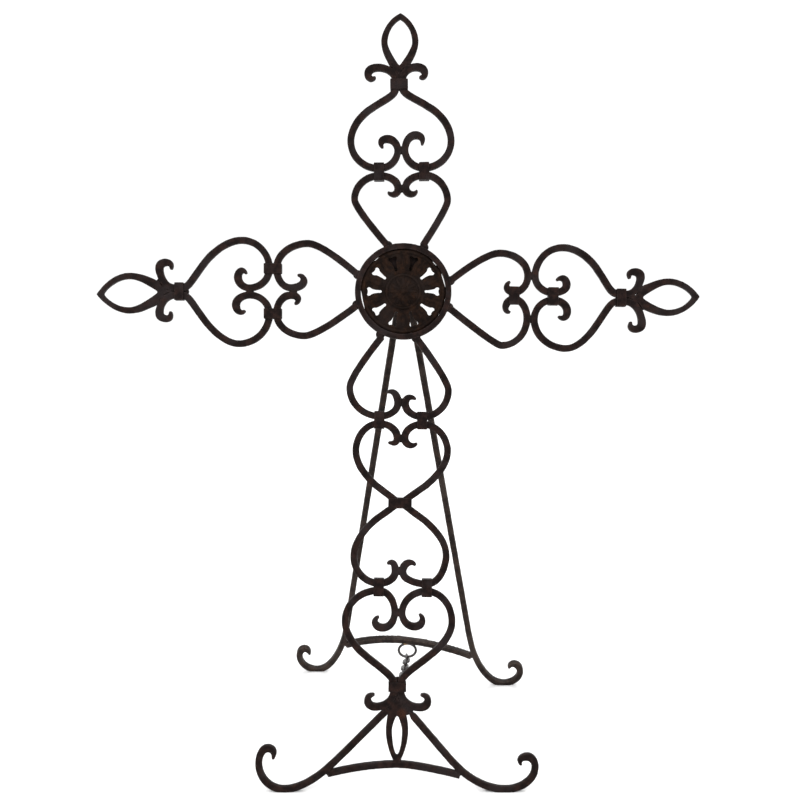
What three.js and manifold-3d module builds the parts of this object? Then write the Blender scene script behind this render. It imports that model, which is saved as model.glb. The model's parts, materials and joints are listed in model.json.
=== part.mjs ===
// A wrought iron scroll cross on a hinged easel back. Millimetres, +Z up, the front faces -Y.
//
// The front panel is forged from square bar. Heart scrolls run out from a ring, which holds a
// pierced cast rosette, to almond finials, and the lowest heart stands on two splayed legs.
// The panel leans back against a two-legged rear frame. It hangs on a hinge behind the
// rosette, and a short chain from its arch to the neck of the panel keeps it from opening
// further.
//
// Arm frame: s runs outward from the ring's centre along the arm, t runs across it.
// Panel frame: x to the right, z up the panel from the feet, y through the panel to the back.

import * as THREE from 'three';
import { mergeVertices } from 'three/addons/utils/BufferGeometryUtils.js';
import Module from 'manifold-3d';

const wasm = await Module();
wasm.setup();

// Driving dimensions

const BAR = 7; // side of the square bar
const GAP = 0.3; // clearance between pieces that touch
const LEAN = 12; // degrees that the panel leans back
const TIP_WIDTH = 1.8; // width of the drawn-out point of a scroll
const SWELL_WIDTH = 7.9; // width where a scroll end is hammered out
const SWELL_REACH = 15; // distance from the point to the swelling
const SWELL_END = 34; // distance from the point to the plain bar
const DRAWN_REACH = 9; // length over which a leg's upper end is drawn down

const NECK_HEIGHT = 99.95; // lower edge of the neck's collar above the feet, up the panel
const HUB_SHIFT = 3.2; // ring's centre right of the middle of the cross
const RING_RADIUS = 48.3; // outer radius
const RING_WIDTH = 6;
const RING_DEPTH = 8;

const ROSETTE = {
  depth: 4.6,
  rimWidth: 4.2,
  rimRise: 1,
  holes: 10,
  holeInner: 21.6,
  holeMargin: 1.5, // between the holes and the rim
  holeInnerWidth: 2.6,
  holeOuterWidth: 7.2,
  fishtailWidth: 10.6,
  fishtailDrop: 3,
  fishtailPoint: 3.6,
  hubRadius: 18,
  hubRise: 2.2,
  recessRadius: 15.5,
  recessFloor: 0.6,
  buttonRadius: 3.2,
  buttonRise: 2.4,
  draft: 0.5, // how far the foot of a raised edge stands out
};

const COLLAR = { wall: 1.8, length: 10.4 };
const ALMOND = { bar: 6.4, foot: { out: 1, side: 1.5 } };

// A pair of sizes belongs to the two hand-bent bars of a heart, [at -t, at +t].
// out is measured along the arm from the junction of two hearts, side is measured across.
// The feet of the hearts touch at the junction, their inner sides touch on the arm's axis.
// An almond's root and point are the metal left at the two ends of its opening, and rise and
// fall are the angles at which its sides leave and meet. The lowest laps over the front arch.

const ARMS = {
  top: {
    turn: -0.75,
    junction: 119.6,
    inner: {
      foot: 22.5,
      contact: 16.2,
      crown: { out: 22.6, side: [8.6, 10.2] },
      tip: { out: [20.1, 18.7], side: [14.3, 15.5], heading: [-42, -25] },
      widest: { out: [27.1, 29.4], side: [47.4, 45.5] },
      tail: { side: [14.6, 20], heading: [-40, -34] },
    },
    outer: {
      foot: 22.5,
      contact: 21.7,
      crown: { out: [33, 36.4], side: 14.2 },
      hook: { out: [29.4, 31.6], side: [20.4, 21.3] },
      tip: { out: [23.7, 26.2], side: [18.3, 20.6], heading: [40, 15] },
      widest: { out: 30.6, side: [50.4, 49.8] },
      sway: { out: 67.4, side: 23.4, heading: -62 },
      neck: 82,
      neckShift: -1.4,
    },
    finial: {
      collar: 10.2,
      crown: { out: 12.2, side: [21.6, 17.6] },
      outside: { out: 6.3, side: [31, 26] },
      under: { out: [0.6, 1.6], side: [28, 23.4] },
      tip: { out: [2.9, 2.6], side: [23.2, 20.2], heading: [321, 305] },
      almond: {
        length: 66.4,
        width: 37.2,
        fullest: 37,
        root: 13.5,
        point: 6.2,
        rise: 36,
        fall: 60,
        lean: 2,
      },
    },
  },
  left: {
    turn: -90,
    junction: 130.2,
    inner: {
      foot: [22.2, 22.8],
      contact: 17.8,
      crown: { out: [25.3, 31], side: [7.6, 10.6] },
      tip: { out: [21.3, 24.4], side: [12.8, 16.2], heading: [-15, 8] },
      widest: { out: [31.2, 35], side: [44.3, 47.9] },
      tail: { side: [13.2, 16.6], heading: [-38, -41] },
    },
    outer: {
      foot: [22.2, 22.8],
      contact: 23.3,
      crown: { out: [37, 35], side: [13.3, 14.3] },
      hook: { out: [31.5, 30.5], side: 21 },
      tip: { out: [27.4, 26.2], side: [18.9, 17.4], heading: [50, 64] },
      widest: { out: [34, 31], side: [52.2, 51.1] },
      sway: { out: 74.8, side: 19.8, heading: -57 },
      neck: 88.9,
    },
    finial: {
      collar: 9.2,
      crown: { out: 15.4, side: [22.8, 24.6] },
      outside: { out: 8, side: [27.2, 29] },
      under: { out: [3.9, 3.4], side: [23.6, 25.4] },
      tip: { out: [4.4, 3.6], side: [19.8, 21.6], heading: 284 },
      almond: {
        length: 78.2,
        width: 40.8,
        fullest: 45,
        root: 16.3,
        point: 7.1,
        rise: 36,
        fall: 54,
        lean: -2.2,
      },
    },
  },
  right: {
    turn: 91.2,
    shift: 1.8,
    bindContacts: true,
    junction: 127.9,
    inner: {
      foot: [20, 23],
      contact: 16.9,
      crown: { out: [24.7, 25.3], side: [8.6, 12.6] },
      tip: { out: [21.2, 20.3], side: [13.8, 17], heading: [-22, 7] },
      widest: { out: [31.7, 28.8], side: [42.1, 50.1] },
      tail: { side: [12.2, 13], heading: [-40, -38] },
    },
    outer: {
      foot: [20, 23],
      contact: 21.9,
      crown: { out: [35.3, 36.4], side: [11.4, 14.7] },
      hook: { out: [30.6, 32.3], side: [18.4, 21.6] },
      tip: { out: [24.6, 27.2], side: [15.8, 19.6], heading: [46, 42] },
      widest: { out: [31.3, 36], side: [48.9, 51.8] },
      sway: { out: 70.6, side: 20.6, heading: -60 },
      neck: 85,
    },
    finial: {
      collar: 9.6,
      crown: { out: [14.5, 16.7], side: [22.4, 26.8] },
      outside: { out: [7.4, 9.6], side: [26.2, 31] },
      under: { out: [2.9, 5], side: [23.4, 28.2] },
      tip: { out: [3.3, 5.5], side: [18.8, 23.4], heading: 281 },
      almond: {
        length: 73.8,
        width: 37.6,
        fullest: 42.5,
        root: 16.3,
        point: 7.4,
        rise: 36,
        fall: 56,
        lean: -2,
      },
    },
  },
};

const STEM = {
  turn: 180.86,
  upper: {
    junction: 128.7,
    inner: {
      foot: [20.9, 22],
      contact: 17,
      crown: { out: [23.1, 28.6], side: [8.8, 10.8] },
      tip: { out: [20.7, 26.9], side: [14.4, 14.8], heading: [-43, -40] },
      widest: { out: [30.2, 32], side: [46.7, 52] },
      tail: { side: [13.2, 20.4], heading: [-38, -38] },
    },
    outer: {
      foot: [20.9, 22],
      contact: 17.8,
      crown: { out: [25.2, 23.1], side: [10.8, 7.4] },
      tip: { out: [22.4, 22.2], side: [16.2, 13], heading: [-35, -70] },
      widest: { out: 31, side: [46.7, 44.9] },
    },
  },
  waist: {
    upper: 82.7,
    lower: 84.3,
    slope: 58,
    kink: 6,
    shoulder: 9.2,
    collarWidth: 23.6,
    collarHeight: 10.6,
  },
  lower: {
    inner: {
      foot: [28, 20],
      contact: 15.5,
      crown: { out: 25, side: [11.2, 7.8] },
      tip: { out: [22, 22.8], side: [16.6, 12], heading: [-32, -35] },
      widest: { out: [33.4, 30.8], side: [46.8, 45.4] },
    },
    outer: {
      foot: [28, 20],
      contact: 25.5,
      crown: { out: [39.1, 40.7], side: [16.2, 15.2] },
      hook: { out: [32.6, 34.6], side: [24.1, 23.4] },
      tip: { out: [26.2, 29.2], side: [20.9, 19.3], heading: [53, 60] },
      widest: { out: 34.1, side: [53.6, 53.1] },
      sway: { out: 71.6, side: [27.4, 28.8], heading: -54 },
      neck: 94.4,
    },
  },
  curls: {
    collar: 9.5,
    crown: { out: 15.9, side: [22.8, 22] },
    outside: { out: 9.6, side: [30.6, 29.4] },
    under: { out: [3.6, 3.9], side: [26.6, 25.4] },
    tip: { out: 3, side: [23.2, 22.4], heading: 244 },
    almond: {
      lap: 3.3,
      width: 22.6,
      fullest: 39,
      root: 22.6,
      point: 10.9,
      rise: 24,
      fall: 30,
      lean: -0.6,
    },
  },
};

const WAIST_REACH = STEM.upper.junction + STEM.waist.upper; // from the ring's centre
const LOWER_JUNCTION = WAIST_REACH + STEM.waist.lower;
const NECK_REACH = LOWER_JUNCTION + STEM.lower.outer.neck;
const HUB_HEIGHT = NECK_HEIGHT + NECK_REACH + STEM.curls.collar;

// Legs of the panel. side is measured from the middle of the cross, height up the panel,
// below down from the neck's collar, and out from where the leg touches the floor.
// Headings count from straight down to straight outward.
const LEGS = {
  left: {
    top: { side: 10.8, below: 16.6 },
    straight: { side: 66.2, height: 28.8, heading: 46.2 },
    foot: 116,
    heel: { out: 25.2, height: 27.6 },
    curl: { out: 16.4, height: 43 },
    hook: { out: 10, height: 37.6 },
    tip: { out: 11.3, height: 32, heading: 386 },
    drawn: false,
  },
  right: {
    top: { side: 8.5, below: 19.4 },
    straight: { side: 51.3, height: 30.7, heading: 40.9 },
    foot: 105,
    heel: { out: 30, height: 24.4 },
    curl: { out: 22.4, height: 34.6 },
    hook: { out: 14.6, height: 30.4 },
    tip: { out: 16, height: 26, heading: 386 },
    drawn: true,
  },
};
const FOOT_FLAT = 1.3; // depth ground off the foot where it stands
// The ends of the front arch are placed beyond and below the legs' straight runs.
const FRONT_ARCH = {
  crown: { side: -3, height: 27.2 },
  left: { beyond: 6.8, below: 11.2, heading: 14 },
  right: { beyond: 8.7, below: 14.5, heading: 14 },
};

// Rear frame. side is measured from the hinge's middle, drop down the legs from its pin, rise
// up the legs from the floor, and out from where the leg touches the floor.
const REAR = {
  spread: 15.8, // degrees of the legs from plumb
  twist: 2, // degrees that the left leg stands further back and the right leg nearer
  pinRise: 22.6, // the pin above the ring's centre, up the panel
  pinBack: 10.2, // the pin behind the middle of the panel
  pinShift: 1.3, // the pin's middle right of the ring's centre
  legTop: 12, // the legs' upper ends below the pin
  parting: 54, // below this drop the legs run straight apart
  partingShare: 0.78, // of the slope that they have on average above it
};
const REAR_LEGS = {
  left: {
    slope: 8.3,
    straight: 72,
    foot: 106,
    heel: { out: 21, rise: 24 },
    curl: { out: 14, rise: 35.5 },
    tip: { out: 8, rise: 27, heading: 350 },
  },
  right: {
    slope: 9.6,
    straight: 72,
    foot: 119,
    heel: { out: 19.4, rise: 19 },
    curl: { out: 11, rise: 30.5 },
    tip: { out: 5.4, rise: 25, heading: 350 },
  },
};
// The ends of the rear arch lie on the legs and stop a little short of their middle lines.
const REAR_ARCH = {
  crown: { side: 8, rise: 56.6 },
  left: { rise: 35.5 },
  right: { rise: 45.5 },
  short: 2,
  steps: 14,
};
const PULL_RING = { radius: 10.2, wire: 2, side: 4.2, tilt: 80 };

const HINGE = { width: 36, plate: 2.4, above: 24, pin: 2, barrel: 4.6, knuckle: 11, tongue: 3.4 };
const CHAIN = { links: 8, wire: 2, width: 8.6, eyeRadius: 4.2, eyeShift: 3.4 };
const FLOOR_SIZE = 2000; // of the block that cuts the feet flat

// Materials

const iron = new THREE.MeshStandardMaterial({ color: 0x2b211d, roughness: 0.72, metalness: 0.55 });
const castIron = new THREE.MeshStandardMaterial({ color: 0x3a231a, roughness: 0.8, metalness: 0.4 });
const rearIron = new THREE.MeshStandardMaterial({ color: 0x3b322d, roughness: 0.68, metalness: 0.55 });
const wire = new THREE.MeshStandardMaterial({ color: 0x8d8a86, roughness: 0.42, metalness: 0.9 });

// Curves

const radians = THREE.MathUtils.degToRad;

/** The size of one bar of a pair, the first at -t and the second at +t. */
function pick(value, side) {
  return Array.isArray(value) ? value[side < 0 ? 0 : 1] : value;
}

/** One bend between two stations, as round as their headings allow. */
function bend(from, to) {
  const start = new THREE.Vector2(...from.at);
  const end = new THREE.Vector2(...to.at);
  const leaving = new THREE.Vector2(Math.cos(from.heading), Math.sin(from.heading));
  const arriving = new THREE.Vector2(Math.cos(to.heading), Math.sin(to.heading));
  const turning = leaving.cross(arriving);
  const across = end.clone().sub(start);
  const angle = Math.acos(THREE.MathUtils.clamp(leaving.dot(arriving), -1, 1));
  const straight = Math.abs(turning) < 0.05;
  const round = straight ? 1 : ((4 / 3) * Math.tan(angle / 4)) / Math.tan(angle / 2);
  const first = straight ? across.length() / 3 : (across.cross(arriving) / turning) * round;
  const second = straight ? across.length() / 3 : (leaving.cross(across) / turning) * round;
  return new THREE.CubicBezierCurve(
    start,
    start.clone().addScaledVector(leaving, first),
    end.clone().addScaledVector(arriving, -second),
    end,
  );
}

/** Points along a run of stations. Each station says how many steps lead to it. */
function trace(stations) {
  const points = [new THREE.Vector2(...stations[0].at)];
  for (let i = 1; i < stations.length; i += 1) {
    points.push(...bend(stations[i - 1], stations[i]).getPoints(stations[i].steps).slice(1));
  }
  return points;
}

/** The same stations walked the other way. */
function reversed(stations) {
  return stations.map((station, i) => ({
    at: station.at,
    heading: station.heading + Math.PI,
    steps: i + 1 < stations.length ? stations[i + 1].steps : 0,
  })).reverse();
}

/** Half the bar's width at a distance from a drawn-out scroll point. */
function scrollHalfWidth(distance) {
  const { smoothstep, lerp } = THREE.MathUtils;
  const drawn = lerp(TIP_WIDTH, SWELL_WIDTH, Math.sqrt(smoothstep(distance, -1, SWELL_REACH)));
  const eased = lerp(SWELL_WIDTH, BAR, smoothstep(distance, SWELL_REACH, SWELL_END));
  return Math.min(drawn, eased) / 2;
}

/** Half the bar's width where its end is only drawn down, with no swelling. */
function drawnHalfWidth(distance) {
  return THREE.MathUtils.lerp(TIP_WIDTH, BAR, THREE.MathUtils.smoothstep(distance, 0, DRAWN_REACH)) / 2;
}

const plain = () => BAR / 2;

/** Outline of a bar along points, with the width that each of its ends has been given. */
function barOutline(points, startWidth, endWidth, grow = 0) {
  const run = [0];
  for (let i = 1; i < points.length; i += 1) {
    run.push(run[i - 1] + points[i].distanceTo(points[i - 1]));
  }
  const total = run[run.length - 1];
  const left = [];
  const right = [];
  points.forEach((point, i) => {
    const before = points[Math.max(i - 1, 0)];
    const after = points[Math.min(i + 1, points.length - 1)];
    const along = after.clone().sub(before).normalize();
    const half = run[i] < total / 2 ? startWidth(run[i]) : endWidth(total - run[i]);
    const normal = new THREE.Vector2(-along.y, along.x);
    left.push(point.clone().addScaledVector(normal, half + grow));
    right.push(point.clone().addScaledVector(normal, -half - grow));
  });
  return [...left, ...right.reverse()];
}

// Solids

/** An outline in x and z as a slab through the panel, centred on y = 0. */
function slab(outline, depth, holes = []) {
  const shape = new THREE.Shape(outline);
  for (const hole of holes) shape.holes.push(new THREE.Path(hole));
  const geometry = new THREE.ExtrudeGeometry(shape, { depth, bevelEnabled: false });
  geometry.rotateX(Math.PI / 2);
  geometry.translate(0, depth / 2, 0);
  return geometry;
}

/** A closed geometry as a solid that can be cut and joined. */
function solid(geometry) {
  const bare = geometry.clone();
  bare.deleteAttribute('normal');
  bare.deleteAttribute('uv');
  const merged = mergeVertices(bare, 1e-4);
  return new wasm.Manifold(new wasm.Mesh({
    numProp: 3,
    vertProperties: new Float32Array(merged.attributes.position.array),
    triVerts: new Uint32Array(merged.index.array),
  }));
}

/** A cut or joined solid as a geometry again. */
function geometryOf(manifold) {
  const mesh = manifold.getMesh();
  const geometry = new THREE.BufferGeometry();
  geometry.setAttribute('position', new THREE.BufferAttribute(new Float32Array(mesh.vertProperties), 3));
  geometry.setIndex(new THREE.BufferAttribute(new Uint32Array(mesh.triVerts), 1));
  return geometry;
}

/** The first solid without the others. */
function without(piece, ...cutters) {
  return cutters.reduce((rest, cutter) => rest.subtract(cutter), piece);
}

function box(width, depth, height, x, y, z) {
  return new THREE.BoxGeometry(width, depth, height).translate(x, y, z);
}

/** A round bar along x. */
function roundBar(radius, length, x, y, z, sides = 16) {
  return new THREE.CylinderGeometry(radius, radius, length, sides)
    .rotateZ(Math.PI / 2)
    .translate(x, y, z);
}

/** Points of a circle in x and z. */
function circle(radius, sides, x, z) {
  return Array.from({ length: sides }, (_, i) => {
    const angle = (i / sides) * 2 * Math.PI;
    return new THREE.Vector2(x + radius * Math.cos(angle), z + radius * Math.sin(angle));
  });
}

/** A square bar from its stations: the bar, and the room it needs with clearance all round. */
function forgeBar(stations, matrix, startWidth = plain, endWidth = plain) {
  const points = trace(stations);
  const bar = slab(barOutline(points, startWidth, endWidth), BAR).applyMatrix4(matrix);
  const grown = barOutline(points, startWidth, endWidth, GAP);
  const room = slab(grown, BAR + 2 * GAP).applyMatrix4(matrix);
  return { bar: solid(bar), room: solid(room) };
}

const model = new THREE.Group();
const panel = new THREE.Group();
panel.rotation.x = -radians(LEAN);
model.add(panel);

function addMesh(group, name, geometry, material) {
  const mesh = new THREE.Mesh(geometry, material);
  mesh.name = name;
  group.add(mesh);
  return mesh;
}

// Hearts

const TOUCH = (BAR + GAP) / 2; // middle of a bar that touches another

/** The matrix that takes an arm's frame into the panel's. */
function armMatrix(turn) {
  return new THREE.Matrix4()
    .makeTranslation(HUB_SHIFT, 0, HUB_HEIGHT)
    .multiply(new THREE.Matrix4().makeRotationY(radians(turn)));
}

/**
 * Puts a station into the arm's frame. out and side are measured from a start on the arm's
 * axis, way is 1 where out runs outward and -1 where it runs to the ring. Its heading counts
 * from out to side.
 */
function place(spot, heading, steps, { start, way, side, shift = 0 }) {
  const x = side * pick(spot.side, side) + shift;
  const z = start + way * pick(spot.out, side);
  const angle = radians(pick(heading, side));
  return { at: [x, z], heading: Math.atan2(way * Math.cos(angle), side * Math.sin(angle)), steps };
}

/** The scroll end of a heart, from its point round to the widest place of its flank. */
function scroll(heart, where) {
  const stations = [place(heart.tip, heart.tip.heading, 0, where)];
  if (heart.hook) stations.push(place(heart.hook, 0, 2, where));
  stations.push(place(heart.crown, -90, 3, where));
  stations.push(place({ out: heart.contact, side: TOUCH }, 180, 4, where));
  stations.push(place({ out: TOUCH, side: heart.foot }, 90, 4, where));
  stations.push(place(heart.widest, 0, 5, where));
  return stations;
}

/** Cuts a heart's bar flat where its swollen end presses against the bar across the axis. */
function pressed(bar, start, heart, way, side, shift, matrix) {
  const size = 10 * BAR;
  const x = shift + side * (GAP / 2 - size / 2);
  const press = box(size, 2 * BAR, 3 * BAR, x, 0, start + way * heart.contact);
  return bar.subtract(solid(press.applyMatrix4(matrix)));
}

/** The bar's end beyond the collar at start, curled out, over and back. */
function curl(finial, where) {
  const beyond = (spot) => ({ out: pick(spot.out, where.side) + finial.collar, side: spot.side });
  return [
    place({ out: 0, side: TOUCH }, 0, 3, where),
    place({ out: finial.collar, side: TOUCH }, 0, 1, where),
    place(beyond(finial.crown), 90, 4, where),
    place(beyond(finial.outside), 180, 3, where),
    place(beyond(finial.under), 270, 2, where),
    place(beyond(finial.tip), finial.tip.heading, 2, where),
  ];
}

/** A bar of the heart that ends on the ring. It runs a little into the ring, which cuts it. */
function hubBar(heart, start, side, shift) {
  const where = { start, way: -1, side, shift };
  const reach = start - RING_RADIUS + RING_WIDTH / 2;
  const end = { out: reach, side: heart.tail.side };
  return [...scroll(heart, where), place(end, heart.tail.heading, 9, where)];
}

/** A bar of an outer heart, on through the collar and out into a curl of the finial. */
function outerBar(heart, finial, start, side, shift) {
  const where = { start, way: 1, side, shift };
  const beyondNeck = { start: start + heart.neck, way: 1, side, shift: shift + (heart.neckShift ?? 0) };
  return [
    ...scroll(heart, where),
    place(heart.sway, heart.sway.heading, 5, where),
    ...curl(finial, beyondNeck),
  ];
}

/** The almond loop that grows from between the curls, in the arm's frame. */
function almondSlab(almond, length, start, shift) {
  const half = almond.width / 2;
  const side = (sign, from, to, width, rise, fall) => trace([
    { at: [sign * from.side, from.out], heading: Math.PI / 2 - sign * radians(rise) },
    { at: [sign * width, almond.fullest], heading: Math.PI / 2, steps: 6 },
    { at: [0, to], heading: Math.PI / 2 + sign * radians(fall), steps: 6 },
  ]);
  const loop = (from, to, width, rise, fall) => {
    const right = side(1, from, to, width, rise, fall);
    const left = side(-1, from, to, width, rise, fall).reverse();
    return [...right, ...left.slice(1, from.side === 0 ? -1 : undefined)];
  };
  const outside = loop(ALMOND.foot, length, half, almond.rise, almond.fall);
  const root = { out: almond.root, side: 0 };
  const inside = loop(root, length - almond.point, half - ALMOND.bar, almond.rise, almond.fall);
  const geometry = slab(outside, ALMOND.bar, [inside]);
  geometry.rotateY(radians(almond.lean));
  return geometry.translate(shift, 0, start);
}

/** A strap wrapped round two bars, in the arm's frame. */
function strap(width, height, x, z, matrix, rooms) {
  const depth = BAR + 2 * COLLAR.wall;
  const block = solid(box(width, depth, height, x, 0, z).applyMatrix4(matrix));
  return without(block, ...rooms);
}

const STRAP_HEIGHT = 2 * BAR + GAP + 2 * COLLAR.wall; // strap's size across its two bars

// Ring and rosette

const RING_HOLE = RING_RADIUS - RING_WIDTH;
const ROSETTE_RADIUS = RING_HOLE - GAP;
const ringRoom = solid(slab(circle(RING_RADIUS + GAP, 72, HUB_SHIFT, HUB_HEIGHT), 3 * BAR));

function buildRing() {
  const outside = circle(RING_RADIUS, 48, HUB_SHIFT, HUB_HEIGHT);
  const inside = circle(RING_HOLE, 48, HUB_SHIFT, HUB_HEIGHT);
  addMesh(panel, 'hub_ring', slab(outside, RING_DEPTH, [inside]), iron);
}

/** One pierced window of the rosette, narrow at the hub and flared like a fishtail outside. */
function windowOutline(angle) {
  const { rimWidth, holeMargin, holeInner, holeInnerWidth, holeOuterWidth } = ROSETTE;
  const { fishtailWidth, fishtailDrop, fishtailPoint } = ROSETTE;
  const holeOuter = ROSETTE_RADIUS - rimWidth - holeMargin;
  const half = [
    [holeInner, holeInnerWidth / 2],
    [holeOuter - 2 * fishtailDrop, holeOuterWidth / 2],
    [holeOuter - fishtailDrop / 2, fishtailWidth / 2],
    [holeOuter, fishtailPoint],
  ];
  const sides = [...half, ...half.map(([r, w]) => [r, -w]).reverse()];
  const centre = new THREE.Vector2(0, 0);
  return sides.map(([r, w]) => new THREE.Vector2(r, w).rotateAround(centre, angle));
}

/** A disc or ring facing front, from its radii and how far its front and back stand. */
function turned(profile) {
  const points = profile.map(([radius, y]) => new THREE.Vector2(radius, y));
  return solid(new THREE.LatheGeometry(points, 30));
}

function buildRosette() {
  const r = ROSETTE;
  const rim = ROSETTE_RADIUS - r.draft;
  const inner = ROSETTE_RADIUS - r.rimWidth;
  const back = r.depth / 2;
  const turns = Array.from({ length: r.holes }, (_, i) => (i / r.holes) * 2 * Math.PI);
  const plate = solid(slab(circle(ROSETTE_RADIUS, 50, 0, 0), r.depth, turns.map(windowOutline)));
  const bead = turned([
    [inner, -back - r.rimRise],
    [rim, -back - r.rimRise],
    [rim, 0],
    [inner, 0],
    [inner, -back - r.rimRise],
  ]);
  const boss = turned([
    [0, -back - r.buttonRise],
    [r.buttonRadius, -back - r.buttonRise],
    [r.buttonRadius + r.draft, -back - r.recessFloor],
    [r.recessRadius, -back - r.recessFloor],
    [r.recessRadius + r.draft, -back - r.hubRise],
    [r.hubRadius, -back - r.hubRise],
    [r.hubRadius + r.draft, 0],
    [0, 0],
  ]);
  const rosette = plate.add(bead).add(boss);
  const mesh = addMesh(panel, 'cast_rosette', geometryOf(rosette), castIron);
  mesh.position.set(HUB_SHIFT, 0, HUB_HEIGHT);
}

// Arms

const SIDES = [-1, 1];

/** Names of an arm's two bars, from where they stand in the panel. */
const BAR_SIDES = {
  top: ['left', 'right'],
  left: ['lower', 'upper'],
  right: ['upper', 'lower'],
  bottom: ['right', 'left'],
};

function buildArm(name, arm) {
  const matrix = armMatrix(arm.turn);
  const shift = arm.shift ?? 0;
  const names = BAR_SIDES[name];
  const inner = SIDES.map((side) => {
    const stations = hubBar(arm.inner, arm.junction, side, shift);
    return forgeBar(stations, matrix, scrollHalfWidth);
  });
  const outer = SIDES.map((side) => {
    const stations = outerBar(arm.outer, arm.finial, arm.junction, side, shift);
    return forgeBar(stations, matrix, scrollHalfWidth, scrollHalfWidth);
  });
  SIDES.forEach((side, i) => {
    const near = pressed(inner[i].bar, arm.junction, arm.inner, -1, side, shift, matrix);
    const far = pressed(outer[i].bar, arm.junction, arm.outer, 1, side, shift, matrix);
    addMesh(panel, `${name}_inner_scroll_${names[i]}`, geometryOf(without(near, ringRoom)), iron);
    addMesh(panel, `${name}_outer_scroll_${names[i]}`, geometryOf(far), iron);
  });

  const rooms = [...inner, ...outer].map(({ room }) => room);
  if (arm.bindContacts) {
    const spots = [
      ['inner', arm.junction - arm.inner.contact],
      ['outer', arm.junction + arm.outer.contact],
    ];
    for (const [spot, z] of spots) {
      const collar = strap(STRAP_HEIGHT, COLLAR.length, shift, z, matrix, rooms);
      addMesh(panel, `${name}_${spot}_collar`, geometryOf(collar), iron);
    }
  } else {
    SIDES.forEach((side, i) => {
      const x = side * pick(arm.inner.foot, side) + shift;
      const collar = strap(COLLAR.length, STRAP_HEIGHT, x, arm.junction, matrix, rooms);
      addMesh(panel, `${name}_collar_${names[i]}`, geometryOf(collar), iron);
    });
  }
  const neck = arm.junction + arm.outer.neck;
  const neckShift = shift + (arm.outer.neckShift ?? 0);
  const middle = neck + arm.finial.collar / 2;
  const collar = strap(STRAP_HEIGHT, arm.finial.collar, neckShift, middle, matrix, rooms);
  addMesh(panel, `${name}_finial_collar`, geometryOf(collar), iron);
  const { almond } = arm.finial;
  const loop = almondSlab(almond, almond.length, neck + arm.finial.collar, neckShift);
  const cut = without(solid(loop.applyMatrix4(matrix)), ...rooms);
  addMesh(panel, `${name}_almond`, geometryOf(cut), iron);
}

// Stem and legs

/** A side of the two hearts that share a waist, forged as one long bar. */
function waistBar(side) {
  const { upper, waist, lower } = STEM;
  const top = scroll(upper.outer, { start: upper.junction, way: 1, side });
  const bottom = scroll(lower.inner, { start: LOWER_JUNCTION, way: -1, side });
  const where = { start: WAIST_REACH, way: 1, side };
  return [
    ...top,
    place({ out: -waist.kink, side: waist.shoulder }, -waist.slope, 4, where),
    place({ out: 0, side: TOUCH }, 0, 2, where),
    place({ out: waist.kink, side: waist.shoulder }, waist.slope, 2, where),
    ...reversed(bottom).map((station, i) => (i === 0 ? { ...station, steps: 4 } : station)),
  ];
}

/** The floor under the feet as a cutter in the panel's frame. */
function floorCutter() {
  const block = box(FLOOR_SIZE, FLOOR_SIZE, FLOOR_SIZE, 0, 0, -FLOOR_SIZE / 2);
  return solid(block.rotateX(radians(LEAN)));
}

/** Stations of a leg. side runs outward, drop runs down, and headings count from down to out. */
function legStations(spots, sign) {
  return spots.map(({ side, drop, heading, steps }) => ({
    at: [sign * side, -drop],
    heading: Math.atan2(-Math.cos(radians(heading)), sign * Math.sin(radians(heading))),
    steps,
  }));
}

function frontLeg(leg, sign) {
  const spot = (side, height, heading, steps) => ({ side, drop: -height, heading, steps });
  const beyond = ({ out, height }, heading, steps) => spot(leg.foot + out, height, heading, steps);
  const { top, straight } = leg;
  return legStations([
    spot(top.side, NECK_HEIGHT - top.below, straight.heading, 0),
    spot(straight.side, straight.height, straight.heading, 8),
    spot(leg.foot, BAR / 2 - FOOT_FLAT, 90, 5),
    beyond(leg.heel, 180, 4),
    beyond(leg.curl, 270, 4),
    beyond(leg.hook, 360, 3),
    beyond(leg.tip, leg.tip.heading, 2),
  ], sign);
}

/** Stations of the front arch, from under the left leg to under the right one. */
function frontArch() {
  const { crown } = FRONT_ARCH;
  const end = (name, sign) => {
    const { beyond, below, heading } = FRONT_ARCH[name];
    const { straight } = LEGS[name];
    return {
      at: [sign * (straight.side + beyond), straight.height - below],
      heading: -sign * radians(heading),
      steps: 6,
    };
  };
  return [end('left', -1), { at: [crown.side, crown.height], heading: 0, steps: 6 }, end('right', 1)];
}

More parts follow.
